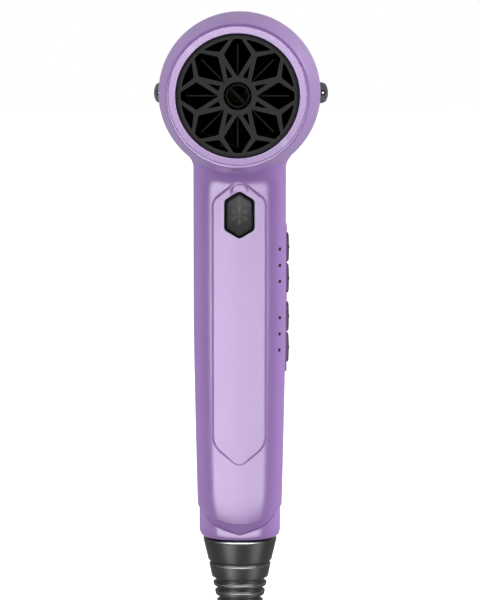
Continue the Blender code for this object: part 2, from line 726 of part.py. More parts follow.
# ---------------------------------------------------------------- motor and fan
def blade(name, radii, y_span, angle, sweep, thickness, material):
    """A thin curved blade between two radii. sweep is how far it turns from its front edge to its back
    edge."""
    stations = 4
    bm = bmesh.new()
    rings = []
    for k in range(stations):
        share = k / (stations - 1)
        y = y_span[0] + (y_span[1] - y_span[0]) * share
        lean = angle + sweep * share**1.4
        ring = []
        for r, side in ((radii[0], -1), (radii[1], -1), (radii[1], 1), (radii[0], 1)):
            ring.append(bm.verts.new(around(r, lean + side * thickness / 2 / r, y)))
        rings.append(ring)
    for first, second in zip(rings, rings[1:], strict=False):
        for i in range(4):
            bm.faces.new((first[i], first[(i + 1) % 4], second[(i + 1) % 4], second[i]))
    bm.faces.new(rings[0])
    bm.faces.new(rings[-1])
    return finish_bmesh(bm, name, material)


def make_motor():
    """The duct with its vanes and the motor's cup, the motor, and the fan behind it. Distances are from the
    front face of the motor's can."""
    centre = (0, MOTOR_Y, BARREL_Z)
    vanes, blades = 7, 9
    mount = turned(
        "motor_mount", tube_profile(*DUCT_RADII, -MM, DUCT_LENGTH - MM), "black_matt", centre=centre, steps=32
    )
    cup_wall = tube_profile(13.4 * MM, 14.6 * MM, -MM, 21 * MM)
    cup = turned("motor_cup", cup_wall, "black_matt", centre=centre, steps=24)
    vane_radii = (14.2 * MM, DUCT_RADII[0] + 0.5 * MM)
    vane_y = (MOTOR_Y + 2 * MM, MOTOR_Y + 18 * MM)
    for k in range(vanes):
        vane = blade(f"vane_{k}", vane_radii, vane_y, 2 * math.pi * k / vanes, 0.35, 1.2 * MM, "black_matt")
        combine(mount, vane, "UNION")
    combine(mount, cup, "UNION")
    seal = tube_profile(DUCT_RADII[1] + GAP, BARREL_RADIUS - WALL - GAP, 34 * MM, 38 * MM)
    turned("duct_seal", seal, "rubber", centre=centre, steps=32)
    can = [
        (5.3 * MM, 0),
        (13.1 * MM, 0),
        (13.1 * MM, 20 * MM),
        (12.1 * MM, 20 * MM),
        (12.1 * MM, 1.2 * MM),
        (5.3 * MM, 1.2 * MM),
    ]
    turned("motor_can", can, "steel", centre=centre, steps=24)
    bell = tube_profile(5.3 * MM, 11.8 * MM, 18 * MM, 20 * MM)
    turned("motor_end_bell", bell, "black_matt", centre=centre, steps=24)
    bearing = (SHAFT_RADIUS + GAP, 5 * MM)
    turned("bearing_front", tube_profile(*bearing, 0.2 * MM, 3.0 * MM), "steel", centre=centre, steps=20)
    turned("bearing_rear", tube_profile(*bearing, 17.2 * MM, 20 * MM), "steel", centre=centre, steps=20)
    make_stator()
    magnet = tube_profile(SHAFT_RADIUS + GAP, 6.9 * MM, 4.5 * MM, 15.5 * MM)
    turned("rotor_magnet", magnet, "iron", centre=centre, steps=20)
    turned("motor_shaft", tube_profile(0, SHAFT_RADIUS, 0, 37 * MM), "steel", centre=centre, steps=14)
    hub = [
        (SHAFT_RADIUS + GAP, 22 * MM),
        (12.6 * MM, 22 * MM),
        (12.6 * MM, 30 * MM),
        (11.0 * MM, 33.5 * MM),
        (7.0 * MM, 36 * MM),
        (SHAFT_RADIUS + GAP, 36.4 * MM),
    ]
    fan = turned("fan_impeller", hub, "black_gloss", centre=centre, steps=24)
    fan_y = (MOTOR_Y + 22.6 * MM, MOTOR_Y + 32 * MM)
    fan_radii = (12 * MM, FAN_RADIUS)
    for k in range(blades):
        angle = 2 * math.pi * k / blades
        combine(fan, blade(f"blade_{k}", fan_radii, fan_y, angle, -0.62, MM, "black_gloss"), "UNION")


def make_stator():
    """The laminated core: a ring with six teeth that point at the magnet."""
    teeth, outside, throat, slot = 6, 11.8 * MM, 7.5 * MM, 10.2 * MM
    frame = ((0, MOTOR_Y, BARREL_Z), (1, 0, 0), (0, 0, 1), (0, 1, 0))
    disc = [(outside * math.cos(a), outside * math.sin(a)) for a in np.linspace(0, 2 * math.pi, 25)[:-1]]
    core = extruded("stator_core", disc, 4 * MM, 16 * MM, "iron", frame, (0, MOTOR_Y, BARREL_Z))
    hollow = []
    for k in range(teeth):
        middle = 2 * math.pi * k / teeth
        corners = [(throat, 0.26), (throat, 0.0), (throat, -0.26), (slot, -0.3)]
        corners.append((slot, 0.3 - 2 * math.pi / teeth))
        hollow += [(r * math.cos(middle - a), r * math.sin(middle - a)) for r, a in corners]
    combine(core, extruded("stator_hollow", hollow, 3 * MM, 17 * MM, "iron", frame))


# ---------------------------------------------------------------- filter
def make_filter():
    """The frame that pushes into the back of the barrel, its fine mesh and the perforated cover."""
    axis = (0, 0, BARREL_Z)
    inside, skirt = 30.6 * MM, 32.5 * MM
    start, end = FLANGE_Y
    profile = [
        (inside, start - 8 * MM),
        (skirt, start - 8 * MM),
        (skirt, start),
        (FLANGE_RADIUS, start),
        (FLANGE_RADIUS, end - 0.6 * MM),
        (FLANGE_RADIUS - 0.6 * MM, end),
        (inside, end),
    ]
    frame = turned("filter_frame", profile, "black_matt", centre=axis, steps=ROUND)
    for name, side in (("left", -1), ("right", 1)):
        combine(frame, lug(name, side), "UNION")
        hole_x = side * LUG_HOLE[0]
        z = BARREL_Z - LUG_DROP
        ends = ((hole_x, start - MM, z), (hole_x, end + MM, z))
        combine(frame, rod(f"{name}_lug_hole", *ends, LUG_HOLE[1], "black_matt", 12))
    disc = tube_profile(0, 30.3 * MM, start - MM, start - 0.5 * MM)
    turned("filter_mesh", disc, "steel", centre=axis, steps=ROUND)
    seat = end + GAP
    cover = [
        (0, TAIL_Y - 1.8 * MM),
        (20 * MM, TAIL_Y - 3 * MM),
        (30 * MM, seat + 2.2 * MM),
        (31 * MM, seat),
        (33.9 * MM, seat),
        (32.8 * MM, seat + 3.1 * MM),
        (20.8 * MM, TAIL_Y - 1.3 * MM),
        (9 * MM, TAIL_Y),
        (0, TAIL_Y),
    ]
    cap = turned("filter_cover", cover, "lilac", centre=axis, steps=ROUND)
    combine(cap, flower_cutter("cover_openings", 1.16, seat - MM, TAIL_Y + 2 * MM, 6.6 * MM))


def lug(name, side):
    """A finger grip that stands out of the frame's flange."""
    half = [(LUG_ROOT, LUG_HALF_HEIGHT)]
    half += [(LUG_REACH - inward * MM, v * MM) for inward, v in ((2.7, 4.8), (1.0, 4.0), (0.3, 2.4), (0, 1))]
    outline = half + [(u, -v) for u, v in reversed(half)]
    frame = ((0, 0, BARREL_Z - LUG_DROP), (side, 0, 0), (0, 0, 1), (0, 1, 0))
    return extruded(f"{name}_lug", outline, FLANGE_Y[0], FLANGE_Y[1] - 0.4 * MM, "black_matt", frame)


# ---------------------------------------------------------------- controls
def make_cool_key():
    """The cool-shot key with its bezel and return spring, and the switch that it presses."""
    front = HANDLE_Y - HANDLE_HALF_DEPTH
    at = (0, front, BUTTON_Z)
    bezel_outline, bezel_opening = six_sided(6.5 * MM, 10.4 * MM), six_sided(5.9 * MM, 9.8 * MM)
    gloss = ("black_gloss", FRONT_FACING)
    bezel = extruded("key_bezel", bezel_outline, front - 0.8 * MM, front + 1.8 * MM, *gloss)
    combine(bezel, extruded("bezel_hole", bezel_opening, front - 3 * MM, front + 4 * MM, *gloss))
    face = six_sided(5.6 * MM, 9.5 * MM)
    ridge, edge = front - 1.6 * MM, front - 0.4 * MM
    key = extruded("cool_key", face, ridge, front + 2.8 * MM, *gloss, at)
    upright = ((0, 0, BUTTON_Z), (1, 0, 0), (0, 1, 0), (0, 0, 1))
    for side in (-1, 1):
        slope = [(side * 8 * MM, front - 4 * MM), (0, front - 4 * MM), (0, ridge), (side * 8 * MM, edge)]
        combine(key, extruded(f"key_slope_{side}", slope, -12 * MM, 12 * MM, "black_gloss", upright))
    flange = six_sided(7.5 * MM, 11.4 * MM)
    combine(key, extruded("key_flange", flange, front + 2.5 * MM, front + 3.5 * MM, *gloss), "UNION")
    ends = ((0, front + 3 * MM, BUTTON_Z), (0, front + 7.8 * MM, BUTTON_Z))
    combine(key, rod("key_stem", *ends, 2 * MM, "black_gloss"), "UNION")
    make_key_spring(front + 4.2 * MM, front + 9.4 * MM)
    switch = front + 10 * MM
    low, high = (-6 * MM, switch, BUTTON_Z - 8 * MM), (6 * MM, switch + 7.5 * MM, BUTTON_Z + 8 * MM)
    body = block("cool_switch_body", low, high, "black_matt")
    well = ((0, switch - MM, BUTTON_Z), (0, switch + 5 * MM, BUTTON_Z))
    combine(body, rod("plunger_well", *well, 1.9 * MM, "black_matt"))
    ends = ((0, front + 8 * MM, BUTTON_Z), (0, switch + 2.3 * MM, BUTTON_Z))
    rod("cool_switch_plunger", *ends, 1.5 * MM, "white_nylon", 14, at)


def make_key_spring(start, end):
    turns, points_per_turn, radius = 3.5, 10, 3.4 * MM
    count = int(turns * points_per_turn)
    coil = []
    for k in range(count + 1):
        angle = 2 * math.pi * k / points_per_turn
        along = start + (end - start) * k / count
        coil.append((radius * math.cos(angle), along, BUTTON_Z + radius * math.sin(angle)))
    wire("cool_key_spring", coil, 0.3 * MM, "steel", sides=0, at=(0, end, BUTTON_Z))


def make_rockers():
    plate = block(
        "switch_plate",
        (PLATE_FACE_X - 1.9 * MM, HANDLE_Y - PLATE_HALF[0], PLATE_Z - PLATE_HALF[1]),
        (PLATE_FACE_X, HANDLE_Y + PLATE_HALF[0], PLATE_Z + PLATE_HALF[1]),
        "lilac",
    )
    for which, z in ROCKER_Z.items():
        window = block(
            f"{which}_window",
            (PLATE_FACE_X - 4 * MM, HANDLE_Y - 5.1 * MM, z - 14.3 * MM),
            (PLATE_FACE_X + 3 * MM, HANDLE_Y + 5.1 * MM, z + 14.3 * MM),
            "lilac",
        )
        combine(plate, window)
        make_rocker(which, z)
        make_rocker_switch(which, z)


def make_rocker(which, z):
    """A two-lobed cap that tips on a pin along Y, with a tooth below that drives the switch's slider."""
    pivot = (ROCKER_PIN_X, HANDLE_Y, z)
    half = [(20.6, 0.6), (22.0, 1.3), (22.4, 4.0), (22.4, 11.6), (21.8, 13.0), (20.4, 13.5), (18.9, 13.3)]
    half += [(18.9, 2.4), (16.8, 2.5), (15.2, 1.9), (14.4, 0.9)]
    outline = [(x * MM, v * MM) for x, v in half] + [(x * MM, -v * MM) for x, v in reversed(half)]
    frame = ((0, HANDLE_Y, z), (1, 0, 0), (0, 0, 1), (0, 1, 0))
    span = (-ROCKER_HALF_WIDTH, ROCKER_HALF_WIDTH)
    cap = extruded(f"{which}_rocker", outline, *span, "black_gloss", frame, pivot)
    low, high = (12.2 * MM, HANDLE_Y - 1.5 * MM, z - 0.8 * MM), (16 * MM, HANDLE_Y + 1.5 * MM, z + 0.8 * MM)
    combine(cap, block(f"{which}_tooth", low, high, "black_gloss"), "UNION")
    combine(cap, rocker_axle(f"{which}_bore", z, 9 * MM, PIN_RADIUS + GAP, "black_gloss"))
    rocker_axle(f"{which}_rocker_pin", z, 6.4 * MM, PIN_RADIUS, "steel")


def rocker_axle(name, z, half_length, radius, material):
    pivot = Vector((ROCKER_PIN_X, HANDLE_Y, z))
    reach = Vector((0, half_length, 0))
    return rod(name, pivot - reach, pivot + reach, radius, material, 14, pivot)


def make_rocker_switch(which, z):
    """The switch below a rocker: its body with two ears for the rocker's pin, and the slider inside."""
    frame = ((0, HANDLE_Y, z), (1, 0, 0), (0, 0, 1), (0, 1, 0))
    low, high = (5 * MM, HANDLE_Y - 6.6 * MM, z - 12.5 * MM), (14.2 * MM, HANDLE_Y + 6.6 * MM, z + 12.5 * MM)
    body = block(f"{which}_switch_body", low, high, "black_matt")
    ear = [(14, -3), (17.2, -3), (18.3, -1.4), (18.3, 1.4), (17.2, 3), (14, 3)]
    ear = [(x * MM, v * MM) for x, v in ear]
    for side in (-1, 1):
        span = sorted((side * 5.2 * MM, side * 6.5 * MM))
        combine(body, extruded(f"{which}_ear_{side}", ear, *span, "black_matt", frame), "UNION")
    combine(body, rocker_axle(f"{which}_pin_hole", z, 9 * MM, PIN_RADIUS + GAP, "black_matt"))
    low, high = (10 * MM, HANDLE_Y - 2.2 * MM, z - 5 * MM), (16 * MM, HANDLE_Y + 2.2 * MM, z + 5 * MM)
    combine(body, block(f"{which}_channel", low, high, "black_matt"))
    half = [(10.3, 3.6), (13.6, 3.6), (13.6, 1.05), (11.6, 1.05)]
    outline = [(x * MM, v * MM) for x, v in half] + [(x * MM, -v * MM) for x, v in reversed(half)]
    extruded(f"{which}_switch_slider", outline, -1.8 * MM, 1.8 * MM, "white_nylon", frame, (0, HANDLE_Y, z))


# ---------------------------------------------------------------- electronics and leads
def make_electronics():
    board = HANDLE_Y + 7 * MM
    block("control_board", (-13 * MM, board, 93 * MM), (13 * MM, board + 1.6 * MM, 131 * MM), "board_green")
    low, high = (-11 * MM, board - 9 * MM, 96 * MM), (2 * MM, board - GAP, 107 * MM)
    block("mains_capacitor", low, high, "component_blue")
    winding = [(2.2, -9), (5.4, -9), (6.4, -7.5), (6.4, -1.8), (5.4, -0.3), (2.2, -0.3)]
    winding = [(r * MM, y * MM) for r, y in winding]
    turned("choke_coil", winding, "copper", centre=(-4.6 * MM, board, 119 * MM), steps=18)
    make_heatsink(board)
    make_terminal_block()
    low, high = (-10 * MM, HANDLE_Y - 5 * MM, 62 * MM), (10 * MM, HANDLE_Y + 5 * MM, 67 * MM)
    clamp = block("cord_clamp", low, high, "black_matt")
    ends = ((0, HANDLE_Y, 60 * MM), (0, HANDLE_Y, 69 * MM))
    combine(clamp, rod("clamp_bore", *ends, 3.6 * MM, "black_matt", 16))


def make_terminal_block():
    """The block with three screw wells where the mains lead ends."""
    low, high = (-9 * MM, HANDLE_Y - 5 * MM, 69 * MM), (9 * MM, HANDLE_Y + 4.5 * MM, 79 * MM)
    terminal = block("terminal_block", low, high, "white_nylon")
    for k, x in enumerate((-5 * MM, 0, 5 * MM)):
        ends = ((x, HANDLE_Y - 8 * MM, 74 * MM), (x, HANDLE_Y + MM, 74 * MM))
        combine(terminal, rod(f"well_{k}", *ends, 1.6 * MM, "white_nylon", 10))


def make_heatsink(board):
    """An extruded heatsink with three fins, which stands on the board."""
    foot, height, fin = 2 * MM, 12 * MM, 1.4 * MM
    pitch = 3.8 * MM
    outline = [(0, 0), (2 * pitch + fin, 0)]
    for k in (2, 1, 0):
        outline += [(k * pitch + fin, height), (k * pitch, height)]
        if k:
            outline += [(k * pitch, foot), ((k - 1) * pitch + fin, foot)]
    outline = [(2.8 * MM + u, board - GAP - v) for u, v in outline]
    frame = ((0, 0, 0), (1, 0, 0), (0, 1, 0), (0, 0, 1))
    extruded("triac_heatsink", outline, 110 * MM, 126 * MM, "steel", frame)


def make_leads():
    """Insulated leads that stay inside the casing. Each point is x, the distance behind the handle's axis
    and z, in millimetres."""
    heater = [(-9, 9.6, 124), (-10, 10, 136), (-13, 5, 160), (-13, 1, 190), (-12, -8, 214), (-9, -18, 224.1)]
    heater += [(-8.5, -23.2, 225.2), (-8, -26.2, 229), (-8, -26.2, 236)]
    motor = [(-5, 9.6, 126), (-6, 10, 138), (-9, 8, 160), (-10, 6, 190), (-6, -6, 214), (-4, -17, 223.2)]
    motor += [(-3.5, -22.8, 224.4), (-3, -25.4, 228), (-3, -25.4, 238), (-4, -23.6, 247)]
    mains = [(5, 2, 80.2), (5, 4, 84), (8, 9.5, 90), (9, 11, 102), (7, 10, 112)]
    cool = [(4, 0, 208), (6.5, 3, 212), (8.5, 9, 206), (9, 12, 190), (9, 12.5, 160), (8, 11.5, 140)]
    cool += [(8, 9.9, 128)]
    routes = {
        "heater_lead": (heater, "lead_white"),
        "motor_lead": (motor, "lead_red"),
        "mains_lead": (mains, "lead_red"),
        "cool_switch_lead": (cool, "lead_white"),
    }
    for name, (route, colour) in routes.items():
        points = [(x * MM, HANDLE_Y + y * MM, z * MM) for x, y, z in route]
        wire(name, smooth_path(points, 3), 0.9 * MM, colour, sides=1)


def clear_scene():
    for obj in list(bpy.data.objects):
        bpy.data.objects.remove(obj)


clear_scene()
make_housings()
make_collar()
make_strain_relief()
make_outlet()
make_heater()
make_motor()
make_filter()
make_cool_key()
make_rockers()
make_electronics()
make_leads()
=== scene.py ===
"""Visual model of the compact hair dryer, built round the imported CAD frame.

Metres, in the CAD's own frame: +Z runs up the handle, -Y is where the air blows out, +X is the rockers' side.
"""

import math

import bmesh
import bpy
import numpy as np
from mathutils import Matrix, Vector
from mathutils.bvhtree import BVHTree
from mathutils.geometry import delaunay_2d_cdt


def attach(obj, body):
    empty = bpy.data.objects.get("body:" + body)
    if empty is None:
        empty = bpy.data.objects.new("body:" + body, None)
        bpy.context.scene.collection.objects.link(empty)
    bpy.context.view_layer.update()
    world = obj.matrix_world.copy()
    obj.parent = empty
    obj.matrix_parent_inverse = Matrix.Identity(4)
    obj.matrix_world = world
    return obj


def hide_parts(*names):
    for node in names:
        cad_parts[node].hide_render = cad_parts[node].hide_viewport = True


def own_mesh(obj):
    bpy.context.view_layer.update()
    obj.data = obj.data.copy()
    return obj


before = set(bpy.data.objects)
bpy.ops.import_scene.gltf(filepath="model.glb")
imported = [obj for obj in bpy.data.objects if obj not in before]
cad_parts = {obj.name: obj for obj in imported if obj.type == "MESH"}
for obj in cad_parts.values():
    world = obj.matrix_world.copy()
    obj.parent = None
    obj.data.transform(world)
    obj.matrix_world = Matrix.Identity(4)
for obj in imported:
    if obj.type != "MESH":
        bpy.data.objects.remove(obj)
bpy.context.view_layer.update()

MM = 0.001
GAP = 0.3 * MM

# ---------------------------------------------------------------- dimensions, as in the CAD source
OUTLET_Y = -64 * MM
TAIL_Y = 64 * MM
HANDLE_Y = 16 * MM
BARREL_Z = 256 * MM
WALL = 2 * MM
BARREL_RADIUS = 36 * MM
BARREL_FRONT_Y = OUTLET_Y + 3.7 * MM
BARREL_BACK_Y = HANDLE_Y + 34 * MM
BARREL_WIDEST_Y = (HANDLE_Y - 3 * MM, HANDLE_Y + 24 * MM)
BARREL_FRONT_DROP = 5.6 * MM
BARREL_BACK_DROP = 0.8 * MM
HANDLE_HALF_WIDTH = 20.7 * MM
HANDLE_HALF_DEPTH = 19.5 * MM
HANDLE_CORNER = 9.2 * MM
HANDLE_TAPER_Z = 157 * MM
HANDLE_FOOT_Z = 70 * MM
HANDLE_TAPER = (1.7 * MM, 0.9 * MM)
HANDLE_CROWN = 0.25 * MM  # how much the front and the back are crowned
FRONT_Y = HANDLE_Y - HANDLE_HALF_DEPTH
FILLET_SIDE = 3.5 * MM
FILLET_FRONT = 8 * MM
RIM_Z = 55 * MM
FOOT_EDGE = (62.6 * MM, 6.8 * MM)
FOOT_TIP = (57.6 * MM, 5.5 * MM, 7 * MM)
FOOT_MEET = 0.6 * MM
FOOT_UNDERCUT = (0.5 * MM, 1.5 * MM)
COLLAR_HALF = (18.3 * MM, 17.0 * MM)
COLLAR_CORNER = 10 * MM
COLLAR_BORE_RADIUS = 11.5 * MM
SPIGOT_RISE = 6 * MM
COLLAR_SEAM = 0.1 * MM
SPLIT_Z = 196 * MM
BUTTON_Z = 202.1 * MM
BUTTON_SIDE = 0.62
BUTTON_HOLE = (6.8 * MM, 10.7 * MM)
ROCKER_Z = {"speed": 179.4 * MM, "heat": 148.0 * MM}
ROCKER_PIN_X = 16.8 * MM
PLATE_FACE_X = 21.1 * MM
PLATE_HALF = (8.2 * MM, 32.8 * MM)
PLATE_Z = 163.7 * MM
FLANGE_RADIUS = 35 * MM
FLANGE_Y = (BARREL_BACK_Y + GAP, BARREL_BACK_Y + 5 * MM)
LUG_ROOT = 33.4 * MM
LUG_REACH = 40.2 * MM
LUG_DROP = 1 * MM
LUG_HOLE = (37.9 * MM, 1.05 * MM)
SCREWS_Z = {"upper": 163.7 * MM, "lower": 86 * MM}
SCREW_RADIUS = 1.4 * MM
SCREW_HEAD_RADIUS = 2.9 * MM
PETALS = 8

# Faceting of the housing: cells round the barrel, across half the handle's opening, and along the barrel.
FINER = 3
ROUND = 36 * FINER
HALF_ACROSS = 4 * FINER
ALONG = (6 * FINER, 8 * FINER, 2 * FINER)
FILLET_STEPS = 10


# ---------------------------------------------------------------- materials
class Shader:
    """A material being built, with short calls for its nodes."""

    def __init__(self, name):
        self.material = bpy.data.materials.new(name)
        self.material.use_nodes = True
        self.tree = self.material.node_tree
        self.surface = self.tree.nodes["Principled BSDF"]
        self.place = self.node("ShaderNodeTexCoord").outputs["Object"]

    def node(self, kind, **settings):
        made = self.tree.nodes.new(kind)
        for key, value in settings.items():
            setattr(made, key, value)
        return made

    def link(self, source, target):
        self.tree.links.new(source, target)

    def noise(self, size, detail=2.0, stretch=None):
        """A noise whose features are about size metres across."""
        texture = self.node("ShaderNodeTexNoise")
        texture.inputs["Scale"].default_value = 1 / size
        texture.inputs["Detail"].default_value = detail
        place = self.place
        if stretch:
            mapping = self.node("ShaderNodeMapping")
            mapping.inputs["Scale"].default_value = stretch
            self.link(place, mapping.inputs["Vector"])
            place = mapping.outputs["Vector"]
        self.link(place, texture.inputs["Vector"])
        return texture.outputs["Fac"]

    def bands(self, pitch, direction):
        texture = self.node("ShaderNodeTexWave", bands_direction=direction)
        texture.inputs["Scale"].default_value = 2 * math.pi / (20 * pitch)
        self.link(self.place, texture.inputs["Vector"])
        return texture.outputs["Fac"]

    def spread(self, value, low, high, start=0.3, end=0.7):
        made = self.node("ShaderNodeMapRange")
        for key, number in (("From Min", start), ("From Max", end), ("To Min", low), ("To Max", high)):
            made.inputs[key].default_value = number
        self.link(value, made.inputs["Value"])
        return made.outputs["Result"]

    def maths(self, operation, a, b):
        made = self.node("ShaderNodeMath", operation=operation)
        for slot, value in zip(made.inputs, (a, b)):
            if isinstance(value, (int, float)):
                slot.default_value = value
            else:
                self.link(value, slot)
        return made.outputs["Value"]

    def blend(self, factor, a, b):
        """A colour between two others."""
        made = self.node("ShaderNodeMix", data_type="RGBA")
        if isinstance(factor, float):
            made.inputs["Factor"].default_value = factor
        else:
            self.link(factor, made.inputs["Factor"])
        for key, value in (("A", a), ("B", b)):
            slot = [s for s in made.inputs if s.name == key and s.type == "RGBA"][0]
            if isinstance(value, tuple):
                slot.default_value = (*value, 1)
            else:
                self.link(value, slot)
        return [s for s in made.outputs if s.type == "RGBA"][0]

    def set(self, **values):
        for key, value in values.items():
            self.surface.inputs[key.replace("_", " ")].default_value = value

    def bump(self, height, strength, distance):
        made = self.node("ShaderNodeBump")
        made.inputs["Strength"].default_value = strength
        made.inputs["Distance"].default_value = distance
        self.link(height, made.inputs["Height"])
        self.link(made.outputs["Normal"], self.surface.inputs["Normal"])

    def edges(self):
        """1 on sharp outward edges, 0 elsewhere."""
        return self.spread(self.node("ShaderNodeNewGeometry").outputs["Pointiness"], 0.0, 1.0, 0.52, 0.62)


def moulded(name, colour, roughness, grain=0.35 * MM, depth=0.004 * MM, mottle=0.05, worn=0.0, **values):
    """Moulded plastic or rubber: a fine grain, a slow change of colour and gloss, and lighter edges."""
    s = Shader(name)
    darker = tuple(c * (1 - mottle) for c in colour)
    lighter = tuple(min(1.0, c * (1 + mottle)) for c in colour)
    shade = s.blend(s.noise(14 * MM, 3.0), darker, lighter)
    if worn:
        pale = tuple(c + (1 - c) * 0.25 for c in colour)
        shade = s.blend(s.maths("MULTIPLY", s.edges(), worn), shade, pale)
    s.link(shade, s.surface.inputs["Base Color"])
    gloss = s.spread(s.noise(5 * MM, 4.0), roughness * 0.94, roughness * 1.1)
    s.link(gloss, s.surface.inputs["Roughness"])
    s.bump(s.noise(grain, 3.0), 0.5, depth)
    s.set(**values)
    return s.material


def metal(name, colour, roughness, brushed=None, stain=0.15):
    """Bare metal: drawn or brushed streaks, and a little tarnish."""
    s = Shader(name)
    dull = tuple(c * (1 - stain) for c in colour)
    s.link(s.blend(s.noise(3 * MM, 4.0), dull, colour), s.surface.inputs["Base Color"])
    streaks = s.noise(0.4 * MM, 2.0, stretch=brushed)
    s.link(s.spread(streaks, roughness * 0.7, roughness * 1.4), s.surface.inputs["Roughness"])
    s.bump(streaks, 0.4, 0.01 * MM)
    s.set(Metallic=1.0)
    return s.material


def woven_mesh(name):
    """Fine woven wire: bright crossings over dark gaps."""
    s = Shader(name)
    pitch = 0.55 * MM
    wires = s.maths("MAXIMUM", s.bands(pitch, "X"), s.bands(pitch, "Z"))
    shown = s.spread(wires, 0.0, 1.0, 0.55, 0.8)
    s.link(s.blend(shown, (0.004, 0.004, 0.004), (0.3, 0.3, 0.3)), s.surface.inputs["Base Color"])
    s.link(s.spread(wires, 0.7, 0.32, 0.4, 0.9), s.surface.inputs["Roughness"])
    s.link(shown, s.surface.inputs["Metallic"])
    s.bump(wires, 0.8, 0.1 * MM)
    return s.material


def mica_in_painted_shade(name):
    """Mica sheet: warm flakes in a clear binder, both made very dark as painted shade for the inside of the
    barrel.
    """
    s = Shader(name)
    flakes = s.noise(1.6 * MM, 5.0, stretch=(1.0, 0.4, 1.0))
    # Both colours are far darker than mica: painted shade for the inside of the barrel.
    s.link(
        s.blend(s.spread(flakes, 0.0, 1.0), (0.012, 0.008, 0.004), (0.04, 0.027, 0.012)),
        s.surface.inputs["Base Color"],
    )
    s.link(s.spread(flakes, 0.35, 0.6), s.surface.inputs["Roughness"])
    s.bump(flakes, 0.3, 0.02 * MM)
    return s.material


def circuit_board(name):
    """Green solder mask over copper tracks, which show as slightly lighter lines."""
    s = Shader(name)
    across, up = s.bands(2.2 * MM, "X"), s.bands(3.1 * MM, "Z")
    tracks = s.maths("GREATER_THAN", s.maths("MAXIMUM", across, up), 0.86)
    broken = s.maths("MULTIPLY", tracks, s.spread(s.noise(6 * MM, 1.0), 0.0, 1.0, 0.45, 0.5))
    s.link(s.blend(broken, (0.012, 0.09, 0.035), (0.05, 0.22, 0.09)), s.surface.inputs["Base Color"])
    s.link(s.spread(s.noise(2 * MM, 2.0), 0.3, 0.42), s.surface.inputs["Roughness"])
    s.bump(broken, 0.4, 0.04 * MM)
    return s.material


LILAC = (0.27, 0.148, 0.39)
FINISH = {
    "body_plastic": moulded("lilac_plastic", LILAC, 0.31, 0.3 * MM, 0.003 * MM, 0.03, 0.25),
    "outlet_trim": moulded("lilac_trim", LILAC, 0.3, 0.3 * MM, 0.0025 * MM, 0.03, 0.3),
    "key_plastic": moulded("key_plastic", (0.008, 0.0085, 0.0085), 0.42, 0.25 * MM, 0.004 * MM, 0.1, 0.3),
    "black_plastic": moulded("black_plastic", (0.02, 0.02, 0.021), 0.62, 0.3 * MM, 0.008 * MM, 0.15, 0.25),
    "relief_rubber": moulded("relief_rubber", (0.004, 0.0045, 0.0045), 0.38, 0.5 * MM, 0.01 * MM, 0.2, 0.3),
    "mica": mica_in_painted_shade("mica"),
    # The heating wire is darkened as painted shade for the inside of the barrel.
    "heating_wire": metal("heating_wire", (0.05, 0.045, 0.04), 0.38, (1.0, 1.0, 1.0), 0.35),
    "steel": metal("steel", (0.62, 0.61, 0.6), 0.3, (1.0, 0.15, 1.0)),
    "iron": metal("iron", (0.28, 0.27, 0.27), 0.5, (1.0, 3.0, 1.0), 0.3),
    "white_nylon": moulded("white_nylon", (0.72, 0.7, 0.64), 0.5, 0.4 * MM, 0.005 * MM, 0.04),
    "board": circuit_board("board"),
    "capacitor_case": moulded("capacitor_case", (0.03, 0.08, 0.33), 0.32, 1.5 * MM, 0.01 * MM, 0.06, 0.2),
    "copper_wire": metal("copper_wire", (0.75, 0.33, 0.15), 0.3, (1.0, 6.0, 1.0)),
    "heatsink": metal("heatsink", (0.52, 0.52, 0.54), 0.36, (1.0, 1.0, 0.1)),
    "red_lead": moulded("red_lead", (0.3, 0.015, 0.012), 0.42, 0.6 * MM, 0.006 * MM, 0.08),
    "white_lead": moulded("white_lead", (0.7, 0.69, 0.64), 0.42, 0.6 * MM, 0.006 * MM, 0.05),
}
DARK_RIM = moulded("grille_plastic", (0.03, 0.03, 0.029), 0.72, 0.3 * MM, 0.006 * MM, 0.1)
MESH_STEEL = woven_mesh("filter_wire")
# Near-black steel for the thermal fuse: painted shade for the inside of the barrel.
FUSE_STEEL_PAINTED_SHADE = metal("fuse_steel_painted_shade", (0.045, 0.04, 0.036), 0.5)
# Dark brown steel for the motor can and shaft: painted shade for the motor deep inside the barrel.
MOTOR_STEEL_PAINTED_SHADE = metal("motor_steel_painted_shade", (0.022, 0.014, 0.005), 0.6)
BRONZE = metal("sintered_bronze", (0.3, 0.2, 0.05), 0.6)
# Near-black, low-gloss moulding: the key surround's and lug eyelets' colour, and painted shade on the
# thermostat, motor end bell, motor mount and duct seal inside the barrel.
DARK_MOULDING_AND_PAINTED_SHADE = moulded("dark_moulding_and_painted_shade", (0.004, 0.004, 0.004), 0.8, 0.4 * MM, Specular_IOR_Level=0.15)
LAMP = moulded("indicator_lens", (0.012, 0.011, 0.008), 0.22, 0.8 * MM, 0.002 * MM, 0.1)


# ---------------------------------------------------------------- building helpers
SHARP = math.radians(35)


def add_piece(name, mesh, slot, body="root", replaces=(), material=None):
    """Makes an object of a mesh in world coordinates, hangs it on its body's empty, and hides the CAD parts
    it replaces.
    """
    mesh.materials.clear()
    mesh.materials.append(material or FINISH[slot])
    obj = bpy.data.objects.new(name, mesh)
    bpy.context.scene.collection.objects.link(obj)
    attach(obj, body)
    if replaces:
        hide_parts(*replaces)
    return obj


def mesh_of(bm, name="piece", weld=1e-6):
    bmesh.ops.remove_doubles(bm, verts=bm.verts, dist=weld)
    bmesh.ops.recalc_face_normals(bm, faces=bm.faces)
    mesh = bpy.data.meshes.new(name)
    bm.to_mesh(mesh)
    bm.free()
    smooth(mesh)
    return mesh


def smooth(mesh, angle=SHARP):
    mesh.shade_smooth()
    mesh.set_sharp_from_angle(angle=angle)


